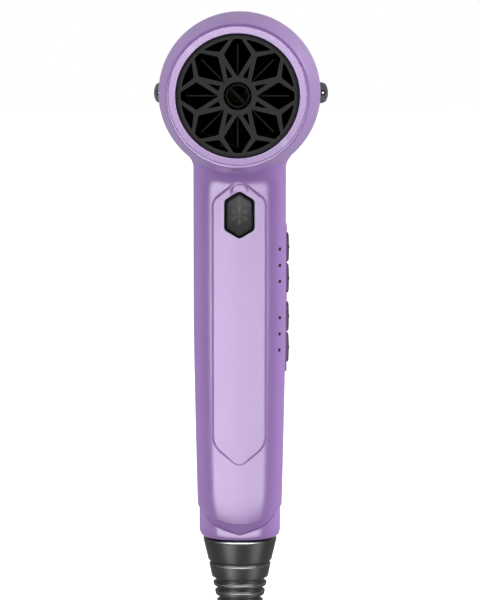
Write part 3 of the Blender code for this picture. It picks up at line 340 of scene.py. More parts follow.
def changed(mesh, *steps):
    """The mesh after some modifiers, each given as (type, settings)."""
    obj = bpy.data.objects.new("work", mesh)
    bpy.context.scene.collection.objects.link(obj)
    for kind, settings in steps:
        modifier = obj.modifiers.new(kind, kind)
        for key, value in settings.items():
            setattr(modifier, key, value)
    evaluated = obj.evaluated_get(bpy.context.evaluated_depsgraph_get())
    result = bpy.data.meshes.new_from_object(evaluated)
    bpy.data.objects.remove(obj)
    smooth(result)
    return result


def combined(mesh, *others):
    """The mesh after boolean steps, each given as (operation, mesh)."""
    tools = []
    for _, other in others:
        tool = bpy.data.objects.new("tool", other)
        bpy.context.scene.collection.objects.link(tool)
        tools.append(tool)
    steps = [
        ("BOOLEAN", {"operation": operation, "object": tool, "solver": "EXACT"})
        for (operation, _), tool in zip(others, tools)
    ]
    result = changed(mesh, *steps)
    for tool in tools:
        bpy.data.objects.remove(tool)
    return result


def bevelled(mesh, width, segments=2, angle=40):
    settings = {
        "width": width,
        "segments": segments,
        "limit_method": "ANGLE",
        "angle_limit": math.radians(angle),
        "harden_normals": False,
        "use_clamp_overlap": True,
    }
    return changed(mesh, ("BEVEL", settings))


def joined(*meshes):
    """One mesh with the closed parts of several, which keep their own surfaces."""
    bm = bmesh.new()
    for mesh in meshes:
        bm.from_mesh(mesh)
    result = bpy.data.meshes.new("piece")
    bm.to_mesh(result)
    bm.free()
    smooth(result)
    return result


def lofted(rows, close=True, caps=False):
    """A surface through rings of points that follow one another, the last one joined to the first."""
    bm = bmesh.new()
    rings = [[bm.verts.new(p) for p in row] for row in rows]
    count = len(rings[0])
    for k in range(len(rings) if close else len(rings) - 1):
        ring, following = rings[k], rings[(k + 1) % len(rings)]
        for i in range(count):
            n = (i + 1) % count
            bm.faces.new((ring[i], ring[n], following[n], following[i]))
    if caps:
        bm.faces.new(rings[0])
        bm.faces.new(rings[-1])
    return mesh_of(bm)


def turned(profile, centre, axis="Y", steps=96):
    """Spins a closed profile of (radius, distance along the axis) about an axis through centre."""
    bm = bmesh.new()
    across = {"X": Vector((0, 0, 1)), "Y": Vector((0, 0, 1)), "Z": Vector((1, 0, 0))}[axis]
    along = {"X": Vector((1, 0, 0)), "Y": Vector((0, 1, 0)), "Z": Vector((0, 0, 1))}[axis]
    verts = [bm.verts.new(Vector(centre) + across * r + along * t) for r, t in profile]
    count = len(verts)
    edges = [
        bm.edges.new((verts[k], verts[(k + 1) % count]))
        for k in range(count)
        if profile[k][0] > 0 or profile[(k + 1) % count][0] > 0
    ]
    bmesh.ops.spin(
        bm,
        geom=[*verts, *edges],
        cent=Vector(centre),
        axis=along,
        angle=2 * math.pi,
        steps=steps,
        use_merge=True,
        use_duplicate=False,
    )
    return mesh_of(bm)


def rounded(profile, radius, steps=3):
    """A closed (u, v) profile with its corners rounded. Radius is a number, or one for each corner."""
    result = []
    count = len(profile)
    for k, corner in enumerate(profile):
        size = radius[k] if isinstance(radius, (list, tuple)) else radius
        here = Vector(corner)
        before, after = Vector(profile[k - 1]) - here, Vector(profile[(k + 1) % count]) - here
        reach = min(size, 0.45 * before.length, 0.45 * after.length)
        if reach <= 0:
            result.append(tuple(here))
            continue
        a, b = here + before.normalized() * reach, here + after.normalized() * reach
        for step in range(steps + 1):
            t = step / steps
            result.append(tuple(a * (1 - t) ** 2 + here * 2 * t * (1 - t) + b * t * t))
    return result


def extruded(outline, start, end, origin, u_axis, v_axis, depth):
    """Extrudes a closed outline of (u, v) from start to end along depth."""
    origin, u_axis, v_axis, depth = (Vector(part) for part in (origin, u_axis, v_axis, depth))
    rows = [[origin + u_axis * u + v_axis * v + depth * t for u, v in outline] for t in (start, end)]
    return lofted(rows, close=False, caps=True)


def block(low, high):
    outline = [(low[0], low[1]), (high[0], low[1]), (high[0], high[1]), (low[0], high[1])]
    return extruded(outline, low[2], high[2], (0, 0, 0), (1, 0, 0), (0, 1, 0), (0, 0, 1))


def rod(start, end, radius, steps=24):
    start, end = Vector(start), Vector(end)
    turn = (end - start).to_track_quat("Z", "Y")
    rows = [
        [p + turn @ Vector((radius * math.cos(a), radius * math.sin(a), 0)) for a in circle(steps)]
        for p in (start, end)
    ]
    return lofted(rows, close=False, caps=True)


def circle(steps):
    return [2 * math.pi * k / steps for k in range(steps)]


# ---------------------------------------------------------------- housing
def eased(value, start, end):
    return min(1.0, max(0.0, (value - start) / (end - start)))


def barrel_radius(y):
    front = eased(y, BARREL_WIDEST_Y[0], BARREL_FRONT_Y)
    back = eased(y, BARREL_WIDEST_Y[1], BARREL_BACK_Y)
    return BARREL_RADIUS - BARREL_FRONT_DROP * front**2 - BARREL_BACK_DROP * back**2


def barrel_point(theta, y, inset=0.0):
    """theta is 0 at the bottom of the barrel, and positive towards +X."""
    r = barrel_radius(y) - inset
    return Vector((r * math.sin(theta), y, BARREL_Z - r * math.cos(theta)))


def handle_half_sizes(z):
    share = eased(z, HANDLE_TAPER_Z, HANDLE_FOOT_Z) ** 1.3
    return HANDLE_HALF_WIDTH - HANDLE_TAPER[0] * share, HANDLE_HALF_DEPTH - HANDLE_TAPER[1] * share


def side_point(share, half_run, half_cross, corner, crown=0.0):
    """A point on one side of a rounded rectangle, and its normal. share runs from -1 to 1, from the middle
    of one rounded corner to the middle of the next."""
    flat = half_run - corner
    run = abs(share) * (flat + corner * math.pi / 4)
    turn = max(0.0, run - flat) / corner
    along = min(run, flat) + corner * math.sin(turn)
    across = half_cross - corner * (1 - math.cos(turn))
    if run < flat:
        across += crown * (1 - (run / flat) ** 2) ** 2
    sign = 1 if share >= 0 else -1
    return sign * along, across, sign * math.sin(turn), math.cos(turn)


def section_loop(half_width, half_depth, corner, crown=0.0):
    """The rounded rectangle as (x, y, normal x, normal y), anticlockwise from above, from the front left
    corner."""
    loop = []
    for k in range(2 * HALF_ACROSS):
        u, v, nu, nv = side_point(k / HALF_ACROSS - 1, half_width, half_depth, corner, crown)
        loop.append((u, -v, nu, -nv))
    for k in range(ALONG[1]):
        u, v, nu, nv = side_point(2 * k / ALONG[1] - 1, half_depth, half_width, corner)
        loop.append((v, u, nv, nu))
    return loop + [(-x, -y, -nx, -ny) for x, y, nx, ny in loop]


def ring_at(z, half_width, half_depth, corner, crown=0.0):
    """A ring of points round the handle's axis. z is a height, or a function of the point's share of the way
    round: 0 in the middle of the front and 1.2 in the middle of a side."""
    ring = []
    for x, y, _, _ in section_loop(half_width, half_depth, corner, crown):
        share = abs(x) / half_width * (1.2 - 0.2 * abs(y) / half_depth)
        height = z(share) if callable(z) else z
        ring.append(Vector((x, HANDLE_Y + y, height)))
    return ring


def round_ring(z, radius):
    turns = (math.atan2(y, x) for x, y, _, _ in section_loop(radius, radius, radius))
    return [Vector((radius * math.cos(a), HANDLE_Y + radius * math.sin(a), z)) for a in turns]


def foot_height(mix, lift=0.0):
    """The height of the foot's edge (mix 0), of the V where the undercut below it ends (mix 1), or of a line
    between the two, as a function of the share of the way round."""

    def height(share):
        edge = FOOT_EDGE[0] + FOOT_EDGE[1] * share**1.8
        low, slope, upturn = FOOT_TIP
        tip = min(low + slope * share + upturn * share**4, edge - FOOT_MEET)
        return edge + (tip - edge) * mix + lift

    return height


def opening_indices():
    """Grid places round the opening for the handle, in the order of section_loop."""
    middle, half = ROUND // 2, HALF_ACROSS
    j0, j1 = ALONG[0], ALONG[0] + ALONG[1]
    front = [(middle + i, j0) for i in range(-half, half)]
    right = [(middle + half, j) for j in range(j0, j1)]
    back = [(middle + i, j1) for i in range(half, -half, -1)]
    left = [(middle - half, j) for j in range(j1, j0, -1)]
    return front + right + back + left


def fillet_size(nx, ny):
    return FILLET_SIDE * nx * nx + FILLET_FRONT * ny * ny


def handle_top_loop(inset=0.0):
    return section_loop(HANDLE_HALF_WIDTH - inset, HANDLE_HALF_DEPTH - inset, HANDLE_CORNER - inset)


def relaxed_lattice():
    """Angles and distances of the barrel's grid points, eased so that the grid follows the rounded joint
    with the handle."""
    front, middle, back = ALONG
    theta = np.tile((np.arange(ROUND) - ROUND // 2)[:, None] * 2 * math.pi / ROUND, (1, sum(ALONG) + 1))
    reach = HANDLE_HALF_DEPTH + FILLET_FRONT
    lines = np.concatenate(
        [
            np.linspace(BARREL_FRONT_Y, HANDLE_Y - reach, front + 1)[:-1],
            np.linspace(HANDLE_Y - reach, HANDLE_Y + reach, middle + 1)[:-1],
            np.linspace(HANDLE_Y + reach, BARREL_BACK_Y, back + 1),
        ]
    )
    y = np.tile(lines, (ROUND, 1))
    shift = np.zeros((*theta.shape, 2))
    held = np.zeros(theta.shape, bool)
    held[:, [0, -1]] = True
    for (i, j), (x, depth, nx, ny) in zip(opening_indices(), handle_top_loop()):
        size = fillet_size(nx, ny)
        target_y = HANDLE_Y + depth + ny * size
        target = (math.asin((x + nx * size) / barrel_radius(target_y)), target_y)
        shift[i, j] = (target[0] - theta[i, j], target[1] - y[i, j])
        held[i, j] = True
    for _ in range(1500):
        mean = (np.roll(shift, 1, 0) + np.roll(shift, -1, 0)) / 2
        mean[:, 1:-1] = (mean[:, 1:-1] + (shift[:, :-2] + shift[:, 2:]) / 2) / 2
        shift = np.where(held[..., None], shift, mean)
    return theta + shift[..., 0], y + shift[..., 1]


def fillet_column(outer, inner, barrel_end, inset):
    """The joint's curve at one place of the loop, from the barrel down to the handle."""
    x, y, nx, ny = outer
    z_top = BARREL_Z - math.sqrt(barrel_radius(HANDLE_Y + y) ** 2 - x * x)
    foot = Vector((inner[0], HANDLE_Y + inner[1], z_top - fillet_size(nx, ny)))
    corner = Vector((foot.x, foot.y, z_top + inset))
    radial = Vector((barrel_end.x, 0, barrel_end.z - BARREL_Z)).normalized()
    pull = corner - barrel_end
    pull -= radial * pull.dot(radial)
    a, b, c, d = barrel_end, barrel_end + 0.55 * pull, foot + 0.55 * (corner - foot), foot
    return [
        a * (1 - t) ** 3 + 3 * b * t * (1 - t) ** 2 + 3 * c * t * t * (1 - t) + d * t**3
        for t in (k / FILLET_STEPS for k in range(1, FILLET_STEPS + 1))
    ]


LIP = 0.7 * MM  # rounding of the barrel's two edges
LIP_STEPS = 4
ABOVE_SPLIT = 4  # rings between the fillet and the split
HANDLE_RINGS = 16
SCOOP_RINGS = 6
SCOOP_DEPTH = 1.55  # as a share of the undercut


def lipped(column):
    """A line of barrel points with its two ends rounded over."""
    axis = Vector((0, 0, BARREL_Z))

    def turn_in(end, direction):
        rows = []
        for k in range(1, LIP_STEPS + 1):
            a = math.pi / 2 * k / LIP_STEPS
            out = Vector((end.x, 0, end.z)) - axis
            inward = -out.normalized() * LIP * (1 - math.cos(a))
            rows.append(end + inward + Vector((0, direction * LIP * math.sin(a), 0)))
        return rows

    front, back = column[0].copy(), column[-1].copy()
    front.y += LIP
    back.y -= LIP
    return turn_in(front, -1)[::-1] + [front] + column[1:-1] + [back] + turn_in(back, 1)


def housing_points(inset):
    """Every point of the outer surface, or of the same surface moved in by inset: the barrel's grid, then
    rings of points down the handle."""
    theta, y = relaxed_lattice()
    grid = [
        [barrel_point(theta[i, j], y[i, j], inset) for j in range(theta.shape[1])] for i in range(ROUND)
    ]
    crown = HANDLE_CROWN
    places = zip(opening_indices(), handle_top_loop(), handle_top_loop(inset))
    columns = [fillet_column(outer, inner, grid[i][j], inset) for (i, j), outer, inner in places]
    rings = [list(ring) for ring in zip(*columns)]

    def at(z, level=None, under=(0.0, 0.0), share=1.0):
        half_width, half_depth = handle_half_sizes(z if level is None else level)
        sizes = (half_width - inset - under[0] * share, half_depth - inset - under[1] * share)
        return ring_at(z, *sizes, HANDLE_CORNER - inset, crown)

    split = at(SPLIT_Z)
    fillet_foot = rings[-1]
    for k in range(1, ABOVE_SPLIT):
        rings.append([a.lerp(b, k / ABOVE_SPLIT) for a, b in zip(fillet_foot, split)])
    rings.append(split)
    lowest = 76 * MM
    for k in range(1, HANDLE_RINGS + 1):
        rings.append(at(SPLIT_Z + (lowest - SPLIT_Z) * k / HANDLE_RINGS))
    rings.append(at(foot_height(0.0, 0.35 * MM), HANDLE_FOOT_Z))
    rings.append(at(foot_height(0.0, 0.1 * MM), HANDLE_FOOT_Z, (0.12 * MM, 0.12 * MM)))
    deepest = 1.0 if inset else SCOOP_DEPTH
    for k in range(SCOOP_RINGS + 1):
        t = k / SCOOP_RINGS
        hollow = 0.2 + (deepest - 0.2) * t
        rings.append(at(foot_height(t), HANDLE_FOOT_Z, FOOT_UNDERCUT, hollow))
    if inset == 0.0:
        grid = [lipped(column) for column in grid]
    else:
        grid = [[column[0]] * LIP_STEPS + column + [column[-1]] * LIP_STEPS for column in grid]
    return grid, rings


def housing_cells(ring_count):
    """Quads of the housing's surface as indices into the grid and the rings: those of the front housing, and
    those of the back cover."""
    width = sum(ALONG) + 1 + 2 * LIP_STEPS
    middle, j0, j1 = ROUND // 2, LIP_STEPS + ALONG[0], LIP_STEPS + ALONG[0] + ALONG[1]
    loop = [i * width + j + LIP_STEPS for i, j in opening_indices()]
    count = len(loop)
    front = []
    for i in range(ROUND):
        for j in range(width - 1):
            if abs(i + 0.5 - middle) < HALF_ACROSS and j0 <= j < j1:
                continue
            n = (i + 1) % ROUND
            front.append((i * width + j, n * width + j, n * width + j + 1, i * width + j + 1))
    cover = []
    rings = [loop] + [[ROUND * width + r * count + k for k in range(count)] for r in range(ring_count)]
    back_half = range(2 * HALF_ACROSS + ALONG[1] // 2, 4 * HALF_ACROSS + 3 * ALONG[1] // 2)
    for r in range(len(rings) - 1):
        for k in range(count):
            n = (k + 1) % count
            quad = (rings[r][k], rings[r][n], rings[r + 1][n], rings[r + 1][k])
            below_split = r >= FILLET_STEPS + ABOVE_SPLIT
            (cover if below_split and k in back_half else front).append(quad)
    return front, cover


def shell(outer, inner, cells):
    """A closed wall between two surfaces with the same cells."""
    used = sorted({v for cell in cells for v in cell})
    index = {v: k for k, v in enumerate(used)}
    bm = bmesh.new()
    outside = [bm.verts.new(outer[v]) for v in used]
    inside = [bm.verts.new(inner[v]) for v in used]
    sides = {}
    for cell in cells:
        ids = [index[v] for v in cell]
        bm.faces.new([outside[i] for i in ids])
        bm.faces.new([inside[i] for i in reversed(ids)])
        for a, b in zip(ids, ids[1:] + ids[:1]):
            if (b, a) in sides:
                del sides[b, a]
            else:
                sides[a, b] = True
    for a, b in sides:
        bm.faces.new((outside[b], outside[a], inside[a], inside[b]))
    bmesh.ops.dissolve_degenerate(bm, edges=bm.edges, dist=1e-6)
    return mesh_of(bm)


def six_sided(half_width, half_height, radius=1.3 * MM, steps=4):
    """The outline of the cool-shot key: upright sides and a point above and below, with rounded corners."""
    side = half_height * BUTTON_SIDE
    corners = [
        (half_width, side),
        (0, half_height),
        (-half_width, side),
        (-half_width, -side),
        (0, -half_height),
        (half_width, -side),
    ]
    return rounded(corners, radius, steps)


def facing_front(outline, start, end, z=BUTTON_Z):
    return extruded(outline, start, end, (0, 0, z), (1, 0, 0), (0, 0, 1), (0, 1, 0))


def make_housings():
    surfaces = [housing_points(inset) for inset in (0.0, WALL)]
    outer, inner = ([p for part in surface for row in part for p in row] for surface in surfaces)
    front, cover = housing_cells(len(surfaces[0][1]))
    skin = BVHTree.FromPolygons(outer, front)
    housing = shell(outer, inner, front)
    shared = {v for cell in front for v in cell} & {v for cell in cover for v in cell}
    for points in (outer, inner):
        for v in shared:
            at_split = abs(points[v].z - SPLIT_Z) < GAP
            at_side = abs(points[v].y - HANDLE_Y) < GAP
            points[v] = points[v] + Vector((0, GAP if at_side else 0, -GAP if at_split else 0))
    back = shell(outer, inner, cover)
    window = block(
        (PLATE_FACE_X - 5 * MM, HANDLE_Y - PLATE_HALF[0] - GAP, PLATE_Z - PLATE_HALF[1] - GAP),
        (PLATE_FACE_X + 4 * MM, HANDLE_Y + PLATE_HALF[0] + GAP, PLATE_Z + PLATE_HALF[1] + GAP),
    )
    hole = facing_front(six_sided(*BUTTON_HOLE), FRONT_Y - 4 * MM, FRONT_Y + 5 * MM)
    meet = HANDLE_Y + 8 * MM
    clear = SCREW_RADIUS + GAP
    housing_steps = [("DIFFERENCE", hole), ("DIFFERENCE", window)]
    back_steps = [("DIFFERENCE", window)]
    for z in SCREWS_Z.values():
        half_depth = handle_half_sizes(z)[1]
        inside = half_depth - WALL + 0.8 * MM

        def bar(start, end, radius):
            return rod((0, start, z), (0, end, z), radius)

        head = HANDLE_Y + half_depth - WALL - 1.2 * MM - GAP
        outside = HANDLE_Y + 24 * MM
        housing_steps.append(("UNION", bar(HANDLE_Y - inside, meet, 3.2 * MM)))
        housing_steps.append(("DIFFERENCE", bar(HANDLE_Y - 3 * MM, meet + 3 * MM, clear)))
        back_steps.append(("UNION", bar(meet + GAP, HANDLE_Y + inside, 4.2 * MM)))
        back_steps.append(("DIFFERENCE", bar(meet - MM, outside, clear)))
        back_steps.append(("DIFFERENCE", bar(head, outside, SCREW_HEAD_RADIUS + GAP)))
    housing = combined(housing, *housing_steps)
    back = combined(back, *back_steps)
    add_piece("front_housing", housing, "body_plastic", replaces=["main_housing"])
    add_piece("back_cover", back, "body_plastic", replaces=["handle_back_cover"])
    return skin


# ---------------------------------------------------------------- raised panel on the handle's front
PANEL_HALF_WIDTH = 12.5 * MM
PANEL_TOP = (218.6 * MM, 209.0 * MM)  # the point, and the shoulders
PANEL_BOTTOM = (88.0 * MM, 98.6 * MM)
PANEL_RISE = 0.6 * MM
PANEL_SINK = 0.08 * MM  # how far the panel's edge is let into the housing
PANEL_BEVEL = 1.3 * MM


def panel_outline():
    w, top, bottom = PANEL_HALF_WIDTH, PANEL_TOP, PANEL_BOTTOM
    corners = [(w, bottom[1]), (w, top[1]), (0, top[0]), (-w, top[1]), (-w, bottom[1]), (0, bottom[0])]
    outline = rounded(corners, [v * MM for v in (5, 3.2, 5.5, 3.2, 5, 4.5)], 8)
    dense = []
    for k, point in enumerate(outline):
        a, b = Vector(point), Vector(outline[(k + 1) % len(outline)])
        count = max(1, round((b - a).length / (1.6 * MM)))
        dense += [a.lerp(b, step / count) for step in range(count)]
    return dense


def offset_loop(loop, distance):
    """The closed loop moved inward, for a loop that runs anticlockwise."""
    moved = []
    for k, point in enumerate(loop):
        along = (loop[(k + 1) % len(loop)] - loop[k - 1]).normalized()
        moved.append(point + Vector((-along.y, along.x)) * distance)
    return moved


def distance_to_loop(point, loop):
    best = 1.0
    for k, a in enumerate(loop):
        b = loop[(k + 1) % len(loop)]
        ab = b - a
        t = min(1.0, max(0.0, (point - a).dot(ab) / ab.length_squared))
        best = min(best, (point - a - ab * t).length)
    return best


def front_surface(skin, x, z):
    hit = skin.ray_cast(Vector((x, -0.09, z)), Vector((0, 1, 0)))[0]
    return hit.y if hit else FRONT_Y


def panel_height(point, distance):
    """How far the panel stands above the housing."""
    t = min(1.0, distance / PANEL_BEVEL)
    rise = -PANEL_SINK + (PANEL_RISE + PANEL_SINK) * math.sin(math.pi / 2 * t) ** 1.1
    fade = min(1.0, max(0.0, (point.y - PANEL_BOTTOM[0]) / (14 * MM)))
    rise = rise * (0.25 + 0.75 * fade) if rise > 0 else rise
    across, up = point.x / (4.0 * MM), (point.y - 212.7 * MM) / (3.5 * MM)
    dimple = min(1.0, 3 * max(0.0, 1 - across * across - up * up))
    return rise - 0.42 * MM * dimple * max(0.0, 1 + up)


def make_panel(skin):
    """The raised six-sided panel round the cool-shot key, laid on the housing's front."""
    loop = panel_outline()
    hole = [Vector(p) + Vector((0, BUTTON_Z)) for p in six_sided(6.8 * MM, 10.7 * MM, steps=5)]
    rows = [offset_loop(loop, PANEL_BEVEL * t) for t in (0.12, 0.28, 0.45, 0.65, 0.85, 1.05)]
    points = [*loop, *hole]
    count = len(loop)
    edges = [(k, (k + 1) % count) for k in range(count)]
    edges += [(count + k, count + (k + 1) % len(hole)) for k in range(len(hole))]
    for row in rows:
        points += row
    step = 1.5 * MM
    for i in range(-8, 9):
        for j in range(90):
            p = Vector((i * step * 0.98, PANEL_BOTTOM[0] + j * step))
            fine = p.y > 208 * MM
            if distance_to_loop(p, loop) < PANEL_BEVEL * 1.3 or not inside(p, loop):
                continue
            if inside(p, hole) or distance_to_loop(p, hole) < 0.6 * MM:
                continue
            points.append(p)
            if fine:
                points += [p + Vector((0, step / 2)), p + Vector((step / 2, 0)), p + Vector((step, step)) / 2]
    coords, _, faces, *_ = delaunay_2d_cdt(points, edges, [], 1, 1e-7)
    bm = bmesh.new()
    tops, bottoms = [], []
    for p in coords:
        y, dx, dz = front_surface(skin, p.x, p.y), 0.4 * MM, 0.4 * MM
        slope_x = (front_surface(skin, p.x + dx, p.y) - front_surface(skin, p.x - dx, p.y)) / (2 * dx)
        slope_z = (front_surface(skin, p.x, p.y + dz) - front_surface(skin, p.x, p.y - dz)) / (2 * dz)
        out = Vector((slope_x, -1, slope_z)).normalized()
        here = Vector((p.x, y, p.y))
        height = panel_height(p, distance_to_loop(p, loop))
        tops.append(bm.verts.new(here + out * height))
        bottoms.append(bm.verts.new(here - out * 0.25 * MM))
    rim = {}
    for face in faces:
        middle = sum((coords[v] for v in face), Vector((0, 0))) / len(face)
        if inside(middle, hole) or not inside(middle, loop):
            continue
        bm.faces.new([tops[v] for v in face])
        bm.faces.new([bottoms[v] for v in reversed(face)])
        for a, b in zip(face, face[1:] + face[:1]):
            if (b, a) in rim:
                del rim[b, a]
            else:
                rim[a, b] = True
    for a, b in rim:
        bm.faces.new((tops[b], tops[a], bottoms[a], bottoms[b]))
    loose = [v for v in bm.verts if not v.link_faces]
    bmesh.ops.delete(bm, geom=loose, context="VERTS")
    add_piece("front_panel", mesh_of(bm, weld=1e-8), "body_plastic")


def inside(point, loop):
    hit = False
    for k, a in enumerate(loop):
        b = loop[k - 1]
        if (a.y > point.y) != (b.y > point.y) and point.x < (b.x - a.x) * (point.y - a.y) / (b.y - a.y) + a.x:
            hit = not hit
    return hit


# ---------------------------------------------------------------- foot
def make_collar():
    """The ring that closes the handle's foot, with its rounded rim."""
    edge = foot_height(1.0, -COLLAR_SEAM)
    lip_top = RIM_Z + 3.2 * MM
    half_width, half_depth = handle_half_sizes(HANDLE_FOOT_Z)
    spigot = (half_width - WALL - FOOT_UNDERCUT[0] - GAP, half_depth - WALL - FOOT_UNDERCUT[1] - GAP)
    inner = (spigot[0] - 1.6 * MM, spigot[1] - 1.6 * MM)
    bore = COLLAR_BORE_RADIUS
    rows = [round_ring(RIM_Z, bore), ring_at(RIM_Z, 15.4 * MM, 15.4 * MM, 14.2 * MM)]
    steps = 7
    for k in range(steps + 1):
        a = math.pi / 2 * k / steps
        cut = 1 - math.sin(a)
        half = (COLLAR_HALF[0] - 2.3 * MM * cut, COLLAR_HALF[1] - 1.1 * MM * cut)

        def level(share, up=1 - math.cos(a)):
            rise = (1.7 + 3.1 * min(1.0, share)) * MM
            return min(RIM_Z + 0.02 * MM + rise * up, edge(share) - 0.4 * MM * (1 - up))

        rows.append(ring_at(level, *half, COLLAR_CORNER + 4 * MM * cut))
    soft = 0.12 * MM
    rows.append(ring_at(foot_height(1.0, -COLLAR_SEAM - soft), *COLLAR_HALF, COLLAR_CORNER))
    rows.append(ring_at(edge, COLLAR_HALF[0] - soft, COLLAR_HALF[1] - soft, COLLAR_CORNER))
    rows.append(ring_at(edge, *spigot, COLLAR_CORNER - 2 * MM))
    rows.append(ring_at(foot_height(1.0, SPIGOT_RISE), *spigot, COLLAR_CORNER - 2 * MM))
    rows.append(ring_at(foot_height(1.0, SPIGOT_RISE), *inner, COLLAR_CORNER - 3 * MM))
    rows.append(ring_at(lip_top, *inner, COLLAR_CORNER - 3 * MM))
    rows.append(round_ring(lip_top, bore))
    add_piece("foot_collar", lofted(rows), "body_plastic", replaces=["handle_collar"])


RELIEF_TOP = (RIM_Z - GAP, 16.8 * MM)
RELIEF_TIP_RADIUS = 5.4 * MM
RELIEF_BORE = 4.2 * MM
RELIEF_GROOVES = [(z * MM, (z + 2.3) * MM, 1.5 * MM) for z in (6, 10.7, 15.4, 20.1, 24.8, 29.2)]
RELIEF_GROOVES += [(33 * MM, 35.6 * MM, 1.5 * MM), (41.8 * MM, 43.4 * MM, MM)]


def make_strain_relief():
    """The ribbed rubber cone, with rounded ribs and its flange inside the collar."""
    top, top_radius = RELIEF_TOP

    def radius(z):
        return RELIEF_TIP_RADIUS + (top_radius - RELIEF_TIP_RADIUS) * z / top

    corners = [((RELIEF_BORE, 0.0), 0.4), ((RELIEF_TIP_RADIUS, 0.0), 0.7)]
    for low, high, depth in RELIEF_GROOVES:
        corners += [
            ((radius(low), low), 0.45),
            ((radius(low) - depth, low + 0.25 * MM), 0.35),
            ((radius(high) - depth, high - 0.25 * MM), 0.35),
            ((radius(high), high), 0.45),
        ]
    neck = COLLAR_BORE_RADIUS - 0.4 * MM
    flange = (RIM_Z + 3.5 * MM, RIM_Z + 5.6 * MM)
    corners += [
        ((top_radius, top - 1.5 * MM), 0.6),
        ((top_radius - 0.35 * MM, top - 0.75 * MM), 0.5),
        ((top_radius - 1.1 * MM, top - 0.3 * MM), 0.5),
        ((neck, top - 0.1 * MM), 0.2),
        ((neck, flange[0]), 0.2),
        ((neck + 1.7 * MM, flange[0]), 0.3),
        ((neck + 1.7 * MM, flange[1]), 0.3),
        ((RELIEF_BORE, flange[1]), 0.3),
    ]
    profile = rounded([c for c, _ in corners], [r * MM for _, r in corners], 3)
    mesh = turned(profile, (0, HANDLE_Y, 0), "Z", 80)
    add_piece("ribbed_relief", mesh, "relief_rubber", replaces=["strain_relief"])


# ---------------------------------------------------------------- air outlet
def flower_openings(scale):
    """The three openings that repeat round the flower, as outlines of (u, v) with the axis at (0, 0) and v
    outward: the kite of a petal, the triangle outside the petals and the one inside them."""

    def polar(radius, angle):
        return radius * MM * math.sin(angle), radius * MM * math.cos(angle)

    kite = [(0, 7.9 * MM), (5.8 * MM, 17.2 * MM), (1.6 * MM, 23.8 * MM)]
    kite += [(-u, v) for u, v in reversed(kite[1:])]
    kite = rounded(kite, [v * MM for v in (0.3, 0.5, 0.6, 0.6, 0.5)], 3)
    arc = [polar(23.7, a) for a in np.linspace(0.244, -0.244, 9)]
    outside = rounded([polar(19.8, 0), *arc], [v * MM for v in (0.4, 0.3, *[0] * 7, 0.3)], 2)
    inner = rounded([polar(13.7, 0), polar(8.3, -0.14), polar(8.3, 0.14)], 0.3 * MM, 2)
    return [[(u * scale, v * scale) for u, v in outline] for outline in (kite, outside, inner)]


def flower_cutter(scale, y_start, y_end, hub_hole):
    """One mesh of all the openings of the flower pattern."""
    kite, outside, inner = flower_openings(scale)
    step = 2 * math.pi / PETALS
    parts = []

    def add(outline, turn):
        swing = Matrix.Rotation(turn, 2)
        parts.append(facing_front([swing @ Vector(p) for p in outline], y_start, y_end, BARREL_Z))

    for k in range(PETALS):
        add(kite, k * step)
        add(outside, (k + 0.5) * step)
        add(inner, (k + 0.5) * step)
    add([(hub_hole * math.cos(a), hub_hole * math.sin(a)) for a in circle(48)], 0)
    return joined(*parts)


def make_outlet():
    axis = (0, 0, BARREL_Z)
    front = OUTLET_Y
    profile = [
        ((26.0, 0.0), 0.25),
        ((26.4, 0.0), 0),
        ((28.5, 0.0), 0),
        ((28.85, 0.0), 0.25),
        ((29.1, 0.35), 0.2),
        ((29.1, 3.4), 0.2),
        ((27.9, 3.4), 0.2),
        ((27.9, 14.0), 0.3),
        ((26.0, 14.0), 0.3),
    ]
    radii = [v * MM for _, v in profile]
    corners = rounded([(r * MM, front + y * MM) for (r, y), _ in profile], radii, 4)
    add_piece("outlet_trim_ring", turned(corners, axis, steps=144), "outlet_trim", replaces=["outlet_ring"])
    disc = [(0, 0.5), (25.0, 0.5), (25.15, 1.2), (25.7, 1.25), (25.7, 2.5), (0, 2.5)]
    disc = turned([(r * MM, front + y * MM) for r, y in disc], axis, steps=144)
    cutter = flower_cutter(1.0, front - MM, front + 4 * MM, 5.9 * MM)
    grille = bevelled(combined(disc, ("DIFFERENCE", cutter)), 0.1 * MM, 2, 50)
    add_piece("flower_grille", grille, "black_plastic", replaces=["outlet_grille"], material=DARK_RIM)


# ---------------------------------------------------------------- cool-shot key
KEY_HALF = (5.6 * MM, 9.5 * MM)


def key_face(x, z):
    """The key's front, which falls away from its ridge to both sides and is crowned up and down."""
    ridge = math.sqrt(x * x + (0.5 * MM) ** 2) - 0.5 * MM
    return FRONT_Y - 1.6 * MM + 0.16 * ridge + 0.75 * MM * (z / KEY_HALF[1]) ** 2


